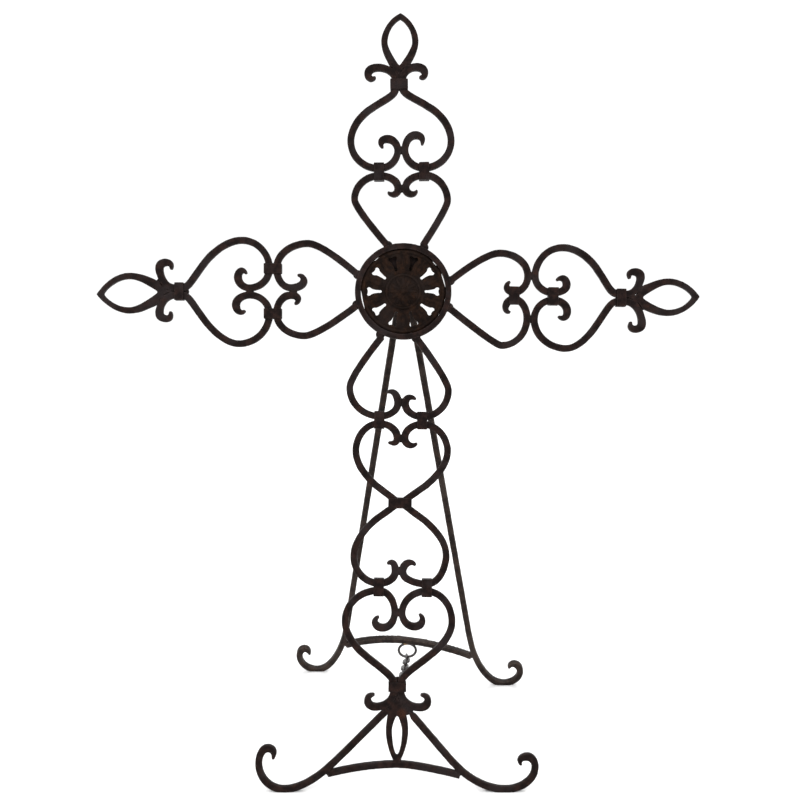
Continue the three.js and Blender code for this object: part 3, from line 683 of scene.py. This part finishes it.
@dataclass
class Smith:
    """Forges finished pieces from the solids and hands each to its body.

    An outline turns sharply at an angle over corner, and runs straight at one under straight,
    where it gets a point every run. Its points lie at least shortest apart. A solid's broad
    face looks along y by more than facing. A solid lower than standing touches the floor.
    A bend is drawn in so many steps between two points of its outline.
    """

    hammer: Hammer
    materials: dict[Slot, bpy.types.Material]
    low: Vector
    high: Vector
    corner: float = math.radians(48)
    straight: float = math.radians(4)
    run: float = 3 * MM
    shortest: float = 0.1 * MM
    facing: float = 0.7
    standing: float = 0.5 * MM
    steps: int = 6
    smooth_to: float = math.radians(50)
    made: list[bpy.types.Object] = field(default_factory=list)

    def outline(self, node: str, plane: WorkPlane, face: Face) -> tuple[list[Loop], float, float]:
        """Reads a flat solid's outline.

        Args:
            node: The solid's node.
            plane: The plane that it lies in.
            face: The broad face to read.

        Returns:
            Its closed loops, each point with whether it is a corner, and the depths of its
            two broad faces.
        """
        mesh = frame["nodes"][node].data
        work = bmesh.new()
        work.from_mesh(mesh)
        local = plane.flat(np.array([v.co for v in work.verts]))
        for vertex, place in zip(work.verts, local):
            vertex.co = place
        bmesh.ops.remove_doubles(work, verts=work.verts, dist=MERGE)
        work.normal_update()
        broad = {f for f in work.faces if f.normal.y * face.value > self.facing}
        ahead: dict = {}
        for edge in work.edges:
            if sum(f in broad for f in edge.link_faces) == 1:
                for vertex in edge.verts:
                    ahead.setdefault(vertex, []).append(edge.other_vert(vertex))
        loops = []
        for border in self._followed(ahead):
            loops.append(self._with_corners([Vector((v.co.x, v.co.z)) for v in border]))
        work.free()
        return loops, min(local[:, 1]), max(local[:, 1])

    def _followed(self, ahead: dict) -> list[list[bmesh.types.BMVert]]:
        """Follows border edges round until each loop closes.

        Args:
            ahead: The border's vertices, each with its neighbours. It is emptied on the way.

        Returns:
            The vertices of each loop in order.
        """
        loops = []
        while ahead:
            start = next(iter(ahead))
            loop = [start]
            before, here = None, start
            while True:
                following = [v for v in ahead.pop(here) if v is not before]
                before, here = here, following[0]
                if here is start or here not in ahead:
                    break
                loop.append(here)
            loops.append(loop)
        return loops

    def _with_corners(self, places: list[Vector]) -> Loop:
        """Says which points are corners and puts further points on straight runs.

        Args:
            places: The loop's points in order.

        Returns:
            The loop. Its bends are left to be rounded, and its straight runs can't bow.
        """
        kept = [p for i, p in enumerate(places) if (p - places[i - 1]).length > self.shortest]
        count = len(kept)
        runs = [kept[(i + 1) % count] - kept[i] for i in range(count)]
        turns = [runs[i - 1].angle(runs[i], 0.0) for i in range(count)]
        marked = []
        for i, place in enumerate(kept):
            marked.append((place, turns[i] > self.corner))
            if min(turns[i], turns[(i + 1) % count]) < self.straight:
                steps = math.ceil(runs[i].length / self.run)
                marked.extend((place + runs[i] * (k / steps), False) for k in range(1, steps))
        return marked

    def plate(self, name: str, loops: list[Loop], back: float, front: float) -> bpy.types.Object:
        """Makes a flat shape from loops, smooth between their corners, in the plane's frame.

        Args:
            name: The piece's name.
            loops: Outlines, the holes among them.
            back: The far depth.
            front: The near depth.

        Returns:
            The closed mesh.
        """
        bpy.ops.curve.primitive_bezier_circle_add()
        piece = bpy.context.object
        curve = piece.data
        curve.dimensions = "2D"
        curve.fill_mode = "BOTH"
        curve.splines.clear()
        curve.resolution_u = self.steps
        for loop in loops:
            spline = curve.splines.new("BEZIER")
            spline.bezier_points.add(len(loop) - 1)
            spline.use_cyclic_u = True
            for point, (place, corner) in zip(spline.bezier_points, loop):
                point.co = (place.x, place.y, 0)
                kind = "VECTOR" if corner else "AUTO"
                point.handle_left_type = kind
                point.handle_right_type = kind
        curve.extrude = abs(front - back) / 2
        Bench.take(piece)
        bpy.ops.object.convert(target="MESH")
        piece = bpy.context.object
        piece.name = name
        middle = (front + back) / 2
        points = points_of(piece.data)
        set_points(piece.data, np.column_stack([points[:, 0], middle - points[:, 2], points[:, 1]]))
        Bench.edit(piece)
        bpy.ops.mesh.remove_doubles(threshold=MERGE)
        bpy.ops.mesh.normals_make_consistent(inside=False)
        Bench.close()
        return piece

    def forge(self, node: str, plane: WorkPlane, slot: Slot, face: Face = Face.FRONT) -> None:
        """Forges a bar or loop again from its solid's outline.

        Args:
            node: The solid's node.
            plane: The plane that it lies in.
            slot: Its finish.
            face: The broad face that its outline is read from.
        """
        loops, front, back = self.outline(node, plane, face)
        piece = self.plate(f"{node}_forged", loops, back, front)
        self.hammer.remake(piece)
        set_points(piece.data, plane.placed(points_of(piece.data)))
        self.hammer.strike(piece)
        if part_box(node)[0].z < self.standing:
            self.ground(piece)
        self.hand_over(piece, slot, node)

    def ground(self, piece: bpy.types.Object) -> None:
        """Grinds a foot flat where it stands.

        Args:
            piece: The piece with the foot.
        """
        Bench.edit(piece)
        bpy.ops.mesh.bisect(
            plane_co=(0, 0, 0), plane_no=(0, 0, 1), use_fill=True, clear_inner=True
        )
        Bench.close()

    def wear(self, node: str, slot: Slot, voxel: float, share: float = 0.6) -> None:
        """Copies a small solid with eased edges and a rough skin.

        Args:
            node: The solid's node.
            slot: Its finish.
            voxel: How fine its mesh is.
            share: How deep its marks are against a bar's.
        """
        piece = Bench.copy_of(node, f"{node}_worn")
        self.hammer.remake(piece, voxel)
        self.hammer.strike(piece, share)
        self.hand_over(piece, slot, node)

    def dress(self, piece: bpy.types.Object, slot: Slot, *nodes: str) -> None:
        """Keeps a piece in the object's box and gives it its finish.

        Args:
            piece: The piece.
            slot: Its finish.
            *nodes: The solids that it stands for.
        """
        low, high = np.array(self.low), np.array(self.high)
        set_points(piece.data, np.clip(points_of(piece.data), low, high))
        piece.data.materials.clear()
        piece.data.materials.append(self.materials[slot])
        Bench.take(piece)
        bpy.ops.object.shade_smooth_by_angle(angle=self.smooth_to)
        if nodes:
            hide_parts(*nodes)
        self.made.append(piece)
        LOG.info("%s: %d faces", piece.name, len(piece.data.polygons))

    def hand_over(
        self, piece: bpy.types.Object, slot: Slot, *nodes: str, body: str | None = None
    ) -> None:
        """Dresses a piece and puts it on its body.

        Args:
            piece: The piece.
            slot: Its finish.
            *nodes: The solids that it stands for.
            body: Its body, where it stands for no solid.
        """
        self.dress(piece, slot, *nodes)
        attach(piece, body or body_of(nodes[0]))


def body_of(node: str) -> str:
    """The body that a solid belongs to."""
    return frame["nodes"][node]["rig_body"]


def names(*starts: str) -> list[str]:
    """The nodes whose names start with one of the words, in order."""
    return sorted(n for n in frame["nodes"] if n.startswith(starts))


# Welds


@dataclass
class Welder:
    """Fills the seams where bars meet with lumps of weld.

    Solids within reach of each other meet. Lumps lie at least apart from each other, and
    steps says how closely a solid's faces are searched.
    """

    smith: Smith
    reach: float = 0.5 * MM
    apart: float = 11 * MM
    radius: float = 4.3 * MM
    depth: float = 3.7 * MM
    steps: int = 6
    voxel: float = 0.7 * MM
    wear: float = 0.8

    def samples(self, node: str) -> list[Vector]:
        """Spreads points over a solid's faces.

        Args:
            node: The solid's node.

        Returns:
            The points.
        """
        mesh = frame["nodes"][node].data
        mesh.calc_loop_triangles()
        n = self.steps
        weights = [(i / n, j / n) for i in range(n + 1) for j in range(n + 1 - i)]
        found = []
        for triangle in mesh.loop_triangles:
            a, b, c = (mesh.vertices[i].co for i in triangle.vertices)
            found.extend(a + (b - a) * u + (c - a) * v for u, v in weights)
        return found

    def tree(self, node: str) -> BVHTree:
        """Readies a solid's faces for distances to them.

        Args:
            node: The solid's node.

        Returns:
            The tree of its faces.
        """
        mesh = frame["nodes"][node].data
        faces = [tuple(p.vertices) for p in mesh.polygons]
        return BVHTree.FromPolygons([v.co for v in mesh.vertices], faces)

    def close(self, first: str, second: str) -> bool:
        """Says whether two solids' boxes come near each other.

        Args:
            first: One solid's node.
            second: The other's.

        Returns:
            True where they may meet.
        """
        low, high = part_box(first)
        other_low, other_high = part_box(second)
        near = self.reach + MM
        return all(
            low[k] < other_high[k] + near and other_low[k] < high[k] + near for k in range(3)
        )

    def meetings(self, pairs: list[tuple[str, str]]) -> list[Vector]:
        """Finds where solids touch.

        Args:
            pairs: The nodes of the solids that may touch.

        Returns:
            A point in the middle of each seam, or several along a long one.
        """
        heaps: list[list[Vector]] = []
        for first, second in pairs:
            if not self.close(first, second):
                continue
            tree = self.tree(second)
            found: list[list[Vector]] = []
            for point in self.samples(first):
                place = tree.find_nearest(point, self.reach)[0]
                if place is None:
                    continue
                middle = (point + place) / 2
                near = next((h for h in found if (h[0] - middle).length < self.apart), None)
                if near is None:
                    found.append([middle])
                else:
                    near.append(middle)
            heaps.extend(found)
        return [sum(heap, Vector()) / len(heap) for heap in heaps]

    def lump(self, spot: Vector, plane: WorkPlane) -> bpy.types.Object:
        """Makes one lump of weld, flattened to the thickness of the bars.

        Args:
            spot: Its middle.
            plane: The plane of the bars.

        Returns:
            The lump.
        """
        bpy.ops.mesh.primitive_uv_sphere_add(segments=16, ring_count=10, radius=self.radius)
        lump = bpy.context.object
        lump.scale = (1, self.depth / self.radius, 1)
        lump.rotation_euler = (plane.tilt, 0, 0)
        lump.location = spot
        Bench.settle(lump)
        return lump

    def fill(
        self,
        name: str,
        pairs: list[tuple[str, str]],
        plane: WorkPlane,
        slot: Slot,
        gaps: tuple[tuple[float, float], ...] = (),
    ) -> None:
        """Welds all the seams between solids of one plane into one piece.

        Args:
            name: The piece's name.
            pairs: The solids that are welded.
            plane: Their plane.
            slot: Their finish.
            gaps: Open places between them that are filled too, across and up their plane.
        """
        spots = self.meetings(pairs)
        spots += [plane.spot(x, 0, z) for x, z in gaps]
        lumps = [self.lump(spot, plane) for spot in spots]
        LOG.info("%s: %d seams", name, len(lumps))
        piece = Bench.join(name, lumps)
        self.smith.hammer.remake(piece, self.voxel)
        self.smith.hammer.strike(piece, self.wear)
        self.smith.hand_over(piece, slot, body=body_of(pairs[0][0]))


# Sub-assemblies


@dataclass
class Panel:
    """The front of the cross: hearts, ring, almonds, collars, legs and arch.

    The gaps are open places at the neck that its weld has filled, across and up the panel.
    """

    smith: Smith
    plane: WorkPlane
    collar_voxel: float = 0.6 * MM
    arms: tuple[str, ...] = ("top", "left", "right", "stem")
    gaps: tuple[tuple[float, float], ...] = (
        (3.8 * MM, -419.5 * MM), (6.6 * MM, -417.5 * MM), (1.8 * MM, -414.6 * MM),
        (-12.5 * MM, -415 * MM),
    )

    def bars(self) -> list[str]:
        """Finds the solids that are bent from bar.

        Returns:
            Their nodes.
        """
        scrolls = [n for n in names(*self.arms) if "_scroll_" in n]
        almonds = [n for n in frame["nodes"] if n.endswith("_almond")]
        return [*scrolls, *sorted(almonds), "front_leg_left", "front_leg_right", "front_arch"]

    def build(self) -> None:
        """Forges the bars, pinches the collars round them and welds the seams."""
        bars = self.bars()
        for node in [*bars, "hub_ring"]:
            self.smith.forge(node, self.plane, Slot.IRON)
        for node in sorted(n for n in frame["nodes"] if "collar" in n):
            self.smith.wear(node, Slot.IRON, self.collar_voxel)
        pairs = list(combinations(bars, 2))
        Welder(self.smith).fill("panel_welds", pairs, self.plane, Slot.IRON, self.gaps)
        tails = [(node, "hub_ring") for node in bars]
        welder = Welder(self.smith, reach=1.5 * MM, radius=4.8 * MM)
        welder.fill("ring_welds", tails, self.plane, Slot.IRON)


@dataclass(frozen=True)
class Petal:
    """A raised petal along a radius: its middle, half length, half width and relief, in mm."""

    along: float
    reach: float
    half: float
    relief: float


@dataclass
class Rosette:
    """The pierced cast rosette in the ring. Lengths here are in millimetres.

    At a slit the edge stands back from the ring: the middle and the half of its angle in
    degrees, and its depth. The window is one half of an opening, as radius and half width.
    A rim is a middle radius and a half width, and a height is measured from the plate's face.
    """

    smith: Smith
    plane: WorkPlane
    radius: float = 42.5
    edge_step: int = 3
    slits: tuple[tuple[float, float, float], ...] = (
        (96, 13, 1.5), (130, 6, 1.0), (42, 5, 1.0), (16, 11, 1.2), (191, 14, 1.3),
    )
    thickness: float = 4.6
    windows: int = 10
    window: tuple[tuple[float, float], ...] = (
        (21.8, 1.0), (24.5, 1.3), (29.0, 2.0), (31.4, 2.7), (33.0, 3.9),
        (34.8, 4.2), (36.0, 3.0), (35.4, 1.4),
    )
    rim: tuple[float, float] = (39.6, 1.9)
    petal: Petal = Petal(28.6, 7.4, 2.5, 1.5)
    rim_petal: Petal = Petal(37.2, 1.5, 3.6, 1.3)
    hub_radius: float = 18
    hub_height: float = 0.9
    hub_border: float = 2.4
    hub_recess: float = 0.7
    hub_rim: tuple[float, float] = (16.7, 1.5)
    hub_petals: int = 12
    hub_petal: Petal = Petal(9.2, 5.0, 1.9, 1.2)
    hub_petal_height: float = 0.5
    button: Petal = Petal(0, 3.1, 3.1, 2.2)
    button_height: float = 0.4
    voxel: float = 0.5
    easing: int = 2
    wear: float = 1.1

    def outlines(self) -> list[Loop]:
        """Draws the edge, out of round so that light shows beside it, and the windows.

        Returns:
            The edge first and then each window.
        """
        edge: Loop = []
        for degrees in range(0, 360, self.edge_step):
            gap = 0.0
            for middle, half, depth in self.slits:
                gap += depth * max(0.0, 1 - ((degrees - middle) / half) ** 2)
            radius = (self.radius - gap) * MM
            angle = math.radians(degrees)
            edge.append((Vector((radius * math.cos(angle), radius * math.sin(angle))), False))
        loops = [edge]
        for i in range(self.windows):
            turn = Matrix.Rotation(2 * math.pi * i / self.windows, 2)
            half = [Vector((r, w)) * MM for r, w in self.window]
            other = [Vector((p.x, -p.y)) for p in reversed(half)]
            loops.append([(turn @ p, False) for p in half + other])
        return loops

    def bead(self, petal: Petal) -> bpy.types.Object:
        """Models one petal in the middle of the plate's depth.

        Args:
            petal: Its sizes.

        Returns:
            The petal at angle 0.
        """
        bpy.ops.mesh.primitive_uv_sphere_add(segments=20, ring_count=12, radius=MM)
        bead = bpy.context.object
        bead.scale = (petal.reach, petal.relief, petal.half)
        bead.location = (petal.along * MM, 0, 0)
        Bench.settle(bead)
        return bead

    def ring_of(self, first: bpy.types.Object, count: int, offset: float) -> list[bpy.types.Object]:
        """Copies a part round the middle, each copy with its own mesh.

        Args:
            first: The part at angle 0.
            count: How many there are.
            offset: The first one's angle.

        Returns:
            All of them.
        """
        parts = [first]
        for _ in range(1, count):
            twin = first.copy()
            twin.data = first.data.copy()
            bpy.context.scene.collection.objects.link(twin)
            parts.append(twin)
        for i, part in enumerate(parts):
            part.rotation_euler = (0, -(offset + 2 * math.pi * i / count), 0)
            Bench.settle(part)
        return parts

    def depth_at(self, height: float) -> float:
        """The depth of a height over the plate's face."""
        return -(self.thickness / 2 + height) * MM

    def raised(self, parts: list[bpy.types.Object], height: float) -> list[bpy.types.Object]:
        """Moves parts to a height over the plate's face.

        Args:
            parts: The parts, in the middle of the plate's depth.
            height: Where their middles go.

        Returns:
            The same parts.
        """
        for part in parts:
            part.location.y = self.depth_at(height)
            Bench.settle(part)
        return parts

    def band(self, radius: float, half: float, height: float) -> bpy.types.Object:
        """Models a round band that stands out of the face.

        Args:
            radius: Its middle radius.
            half: Half its width.
            height: Where its middle lies.

        Returns:
            The band.
        """
        bpy.ops.mesh.primitive_torus_add(
            major_radius=radius * MM, minor_radius=half * MM,
            major_segments=72, minor_segments=12, rotation=(math.pi / 2, 0, 0),
            location=(0, self.depth_at(height), 0),
        )
        band = bpy.context.object
        Bench.settle(band)
        return band

    def disc(self) -> bpy.types.Object:
        """Models the hub's disc, with a shallow recess in its face.

        Returns:
            The disc.
        """
        face = self.depth_at(self.hub_height)
        bpy.ops.mesh.primitive_cylinder_add(
            vertices=64, radius=self.hub_radius * MM, depth=-face,
            rotation=(math.pi / 2, 0, 0), location=(0, face / 2, 0),
        )
        disc = bpy.context.object
        Bench.settle(disc)
        Bench.edit_faces(disc, Vector((0, -1, 0)))
        bpy.ops.mesh.inset(thickness=self.hub_border * MM, depth=-self.hub_recess * MM)
        Bench.close()
        return disc

    def hub(self) -> list[bpy.types.Object]:
        """Models the raised hub.

        Returns:
            Its disc, band, petals and button.
        """
        disc = self.disc()
        band = self.band(*self.hub_rim, self.hub_height)
        petals = self.ring_of(self.bead(self.hub_petal), self.hub_petals, 0.0)
        self.raised(petals, self.hub_petal_height)
        button = self.raised([self.bead(self.button)], self.button_height)
        return [disc, band, *petals, *button]

    def build(self) -> None:
        """Casts the rosette in one piece from its plate, petals, bands and hub."""
        half = self.thickness / 2 * MM
        parts = [self.smith.plate("cast_rosette_plate", self.outlines(), half, -half)]
        parts.append(self.band(*self.rim, 0.0))
        for petal in (self.petal, self.rim_petal):
            petals = self.ring_of(self.bead(petal), self.windows, math.pi / self.windows)
            parts += self.raised(petals, 0.0)
        parts += self.hub()
        piece = Bench.join("cast_rosette_relief", parts)
        self.smith.hammer.remake(piece, self.voxel * MM, self.easing)
        set_points(piece.data, self.plane.placed(points_of(piece.data)))
        self.smith.hammer.strike(piece, self.wear)
        self.smith.hand_over(piece, Slot.CAST_IRON, "cast_rosette")


@dataclass
class EaselBack:
    """The rear frame: two twisted legs and the arch between them."""

    smith: Smith
    pin: Vector
    spread: float = math.radians(15.8)
    twist: float = math.radians(2)

    def leg_plane(self, sign: int) -> WorkPlane:
        """The plane of the left leg, sign -1, or of the right one."""
        return WorkPlane(self.pin, self.spread - sign * self.twist)

    def arch_plane(self) -> WorkPlane:
        """Reads the arch's twist from its solid.

        Returns:
            The arch's plane.
        """
        plane = WorkPlane(self.pin, self.spread)
        points = plane.flat(points_of(frame["nodes"]["rear_arch"].data))
        turn = np.polyfit(points[:, 0], np.arctan2(points[:, 1], -points[:, 2]), 1)
        return WorkPlane(self.pin, self.spread, tuple(turn))

    def build(self) -> None:
        """Forges the legs and the arch and welds them."""
        bars = ["rear_leg_left", "rear_leg_right", "rear_arch"]
        self.smith.forge(bars[0], self.leg_plane(-1), Slot.REAR_IRON, Face.BACK)
        self.smith.forge(bars[1], self.leg_plane(1), Slot.REAR_IRON, Face.BACK)
        self.smith.forge(bars[2], self.arch_plane(), Slot.REAR_IRON)
        plane = WorkPlane(self.pin, self.spread)
        pairs = list(combinations(bars, 2))
        Welder(self.smith).fill("rear_welds", pairs, plane, Slot.REAR_IRON)


@dataclass
class Hinge:
    """The butt hinge behind the rosette."""

    smith: Smith
    voxel: float = 0.45 * MM
    leaf_wear: float = 0.5
    pin_wear: float = 0.2

    def build(self) -> None:
        """Wears the leaves and the pin."""
        self.smith.wear("hinge_leaf", Slot.IRON, self.voxel, self.leaf_wear)
        self.smith.wear("hinge_pin", Slot.IRON, self.voxel, self.pin_wear)
        self.smith.wear("rear_hinge_leaf", Slot.REAR_IRON, self.voxel, self.leaf_wear)


@dataclass
class Chain:
    """The pull ring, the chain of wire links and the eye at the neck.

    The wires are given by their radius: the solids', the links' and the pull ring's.
    """

    smith: Smith
    solid_wire: float = 1.0 * MM
    link_wire: float = 1.22 * MM
    ring_wire: float = 1.6 * MM
    around: int = 28
    across: int = 10
    braze_size: tuple[float, float, float] = (4.4, 3.0, 2.1)
    braze_voxel: float = 0.5 * MM
    braze_finish: WireFinish = WireFinish(
        "braze", steel=(0.30, 0.19, 0.09), tarnish=(0.13, 0.08, 0.045), roughness=0.45
    )

    def axes(self, node: str) -> tuple[Vector, Matrix, float, float]:
        """Finds how a wire loop lies.

        Args:
            node: The loop's solid.

        Returns:
            Its middle, its turn with the long axis first and the flat axis last, and the
            half lengths of its long and short axes.
        """
        points = points_of(frame["nodes"][node].data)
        points = np.unique(points.round(6), axis=0)
        middle = (points.min(0) + points.max(0)) / 2
        _, _, rows = np.linalg.svd(points - points.mean(0))
        spans = [(points @ row).max() - (points @ row).min() for row in rows]
        for row in rows:
            reach = points @ row
            middle = middle + row * ((reach.max() + reach.min()) / 2 - middle @ row)
        rows[2] = np.cross(rows[0], rows[1])
        turn = Matrix(rows.tolist()).transposed()
        return Vector(middle), turn, spans[0] / 2, spans[1] / 2

    def loop(self, node: str, wire: float) -> bpy.types.Object:
        """Bends a smooth wire loop where a solid one lies.

        Args:
            node: The solid loop.
            wire: The wire's radius.

        Returns:
            The loop.
        """
        middle, turn, long, short = self.axes(node)
        bpy.ops.mesh.primitive_torus_add(
            major_radius=short - self.solid_wire, minor_radius=wire,
            major_segments=self.around, minor_segments=self.across,
        )
        loop = bpy.context.object
        loop.name = f"{node}_wire"
        points = points_of(loop.data)
        points[:, 0] += np.sign(points[:, 0].round(7)) * (long - short)
        set_points(loop.data, points)
        loop.matrix_world = Matrix.Translation(middle) @ turn.to_4x4()
        Bench.settle(loop)
        return loop

    def rounded(self, piece: bpy.types.Object) -> bpy.types.Object:
        """Makes a piece of wire rounder, and returns it."""
        Bench.finish(piece, "SUBSURF", levels=1, render_levels=1)
        return piece

    def build(self) -> None:
        """Makes the ring, the eye and the chain."""
        for node, wire in (("pull_ring", self.ring_wire), ("chain_eye", self.link_wire)):
            self.smith.hand_over(self.rounded(self.loop(node, wire)), Slot.WIRE, node)
        links = names("chain_link_")
        chain = Bench.join("chain_of_links", [self.loop(node, self.link_wire) for node in links])
        self.smith.dress(self.rounded(chain), Slot.WIRE, *links)
        first, last = self.axes(links[0])[0], self.axes(links[-1])[0]
        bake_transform(chain)
        self.braze()

    def braze(self) -> None:
        """Brazes the pull ring to the underside of the rear arch."""
        points = points_of(frame["nodes"]["pull_ring"].data)
        bpy.ops.mesh.primitive_uv_sphere_add(segments=20, ring_count=12, radius=MM)
        lump = bpy.context.object
        lump.name = "ring_braze"
        lump.scale = self.braze_size
        lump.location = Vector(points[points[:, 2].argmax()])
        Bench.settle(lump)
        self.smith.hammer.remake(lump, self.braze_voxel)
        self.smith.hammer.strike(lump)
        self.smith.hand_over(lump, Slot.WIRE, body=EASEL_BACK)
        lump.data.materials[0] = self.braze_finish.material()


# Studio


@dataclass(frozen=True)
class Lamp:
    """A soft square light: its place, its side in metres and its power in watts."""

    name: str
    place: tuple[float, float, float]
    size: float
    power: float


@dataclass
class Studio:
    """The pale floor, the soft lights and the camera."""

    distance: float = 1.2334
    height: float = 0.632
    side: float = 0.0019
    look_down: float = math.radians(12)
    lens: float = 54.0
    sensor: float = 36.0
    floor_size: float = 120.0
    floor_finish: PlainFinish = PlainFinish("floor", (0.93, 0.93, 0.93))
    room_light: float = 1.12
    lit_height: float = 0.38
    lamps: tuple[Lamp, ...] = (
        Lamp("key_light", (-1.1, -1.9, 2.1), 1.4, 34),
        Lamp("fill_light", (1.7, -1.3, 1.2), 1.6, 15),
        Lamp("back_light", (0.4, 1.7, 2.0), 1.4, 20),
    )

    def floor(self) -> None:
        """Lays a pale floor that reaches to the horizon."""
        bpy.ops.mesh.primitive_plane_add(size=self.floor_size, location=(0, 0, 0))
        floor = bpy.context.object
        floor.name = "floor"
        floor.data.materials.append(self.floor_finish.material())
        floor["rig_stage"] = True

    def hang(self, lamp: Lamp) -> None:
        """Hangs one light so that it faces the object's middle.

        Args:
            lamp: The light.
        """
        bpy.ops.object.light_add(type="AREA", location=lamp.place)
        light = bpy.context.object
        light.name = lamp.name
        light.data.energy = lamp.power
        light.data.shape = "SQUARE"
        light.data.size = lamp.size
        aim = Vector((0, 0, self.lit_height)) - Vector(lamp.place)
        light.rotation_euler = aim.to_track_quat("-Z", "Y").to_euler()

    def room(self) -> None:
        """Makes the surroundings pale."""
        world = bpy.data.worlds.new("pale_room")
        world.use_nodes = True
        background = world.node_tree.nodes["Background"]
        background.inputs["Color"].default_value = (1.0, 1.0, 1.0, 1)
        background.inputs["Strength"].default_value = self.room_light
        bpy.context.scene.world = world
        bpy.context.scene.view_settings.view_transform = "Standard"

    def camera(self) -> None:
        """Puts the camera where the photograph was taken from."""
        bpy.ops.object.camera_add(
            location=(self.side, -self.distance, self.height),
            rotation=(math.pi / 2 - self.look_down, 0, 0),
        )
        camera = bpy.context.object
        camera.data.lens = self.lens
        camera.data.sensor_width = self.sensor
        bpy.context.scene.camera = camera

    def build(self) -> None:
        """Sets up the floor, the lights, the pale surroundings and the camera."""
        self.floor()
        for lamp in self.lamps:
            self.hang(lamp)
        self.room()
        self.camera()


def finishes(plane: WorkPlane) -> dict[Slot, bpy.types.Material]:
    """Builds the material of each slot.

    Args:
        plane: The panel's plane, in which rust spots are placed.

    Returns:
        A material for each slot.
    """
    neck = plane.spot(-1.0 * MM, -3 * MM, -421.5 * MM)
    iron = IronFinish(
        "forged_iron",
        dark=(0.0052, 0.0028, 0.0025),
        brown=(0.0165, 0.0082, 0.0066),
        grey=(0.017, 0.0128, 0.0128),
        rust=(0.060, 0.019, 0.0075),
        rust_share=0.15,
        rubbed=(0.055, 0.041, 0.038),
        roughness=0.48,
        grain=0.34 * MM,
        metallic=0.15,
        shine=0.07,
        spots=(RustSpot(neck, radius=6.5 * MM, strength=0.5),),
    )
    cast = IronFinish(
        "cast_iron",
        dark=(0.0050, 0.0025, 0.0017),
        brown=(0.0150, 0.0068, 0.0037),
        grey=(0.0125, 0.0080, 0.0066),
        rust=(0.036, 0.0145, 0.0058),
        rust_share=0.22,
        rubbed=(0.030, 0.019, 0.014),
        roughness=0.56,
        grain=0.5 * MM,
        metallic=0.1,
        shine=0.06,
    )
    # The rear frame's iron is the forged iron painted lighter, with brighter rubbed edges and more
    # shine: painted light for the light that falls more on the rear bars.
    rear = IronFinish(
        "rear_iron",
        dark=(0.0078, 0.0048, 0.0039),
        brown=(0.023, 0.0142, 0.0108),
        grey=(0.037, 0.0270, 0.0225),
        rust=(0.062, 0.027, 0.0125),
        rust_share=0.2,
        rubbed=(0.13, 0.10, 0.085),
        roughness=0.42,
        grain=0.3 * MM,
        metallic=0.3,
        shine=0.15,
    )
    wire = WireFinish(
        "grey_wire", steel=(0.062, 0.058, 0.058), tarnish=(0.024, 0.018, 0.015), roughness=0.3
    )
    return {
        Slot.IRON: iron.material(),
        Slot.CAST_IRON: cast.material(),
        Slot.REAR_IRON: rear.material(),
        Slot.WIRE: wire.material(),
    }


def main() -> None:
    """Builds the sub-assemblies in order and then the studio round them."""
    logging.basicConfig(level=logging.INFO, format="%(message)s")
    low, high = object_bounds()
    ring_low, ring_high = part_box("hub_ring")
    plane = WorkPlane((ring_low + ring_high) / 2, PANEL_LEAN)
    pin = Vector(frame["joints"][0]["pos_m"])
    smith = Smith(Hammer(), finishes(plane), low, high)
    Panel(smith, plane).build()
    Rosette(smith, plane).build()
    EaselBack(smith, pin).build()
    Hinge(smith).build()
    Chain(smith).build()
    faces = sum(len(piece.data.polygons) for piece in smith.made)
    LOG.info("%d pieces, %d faces", len(smith.made), faces)
    Studio().build()


if __name__ == "__main__":
    main()
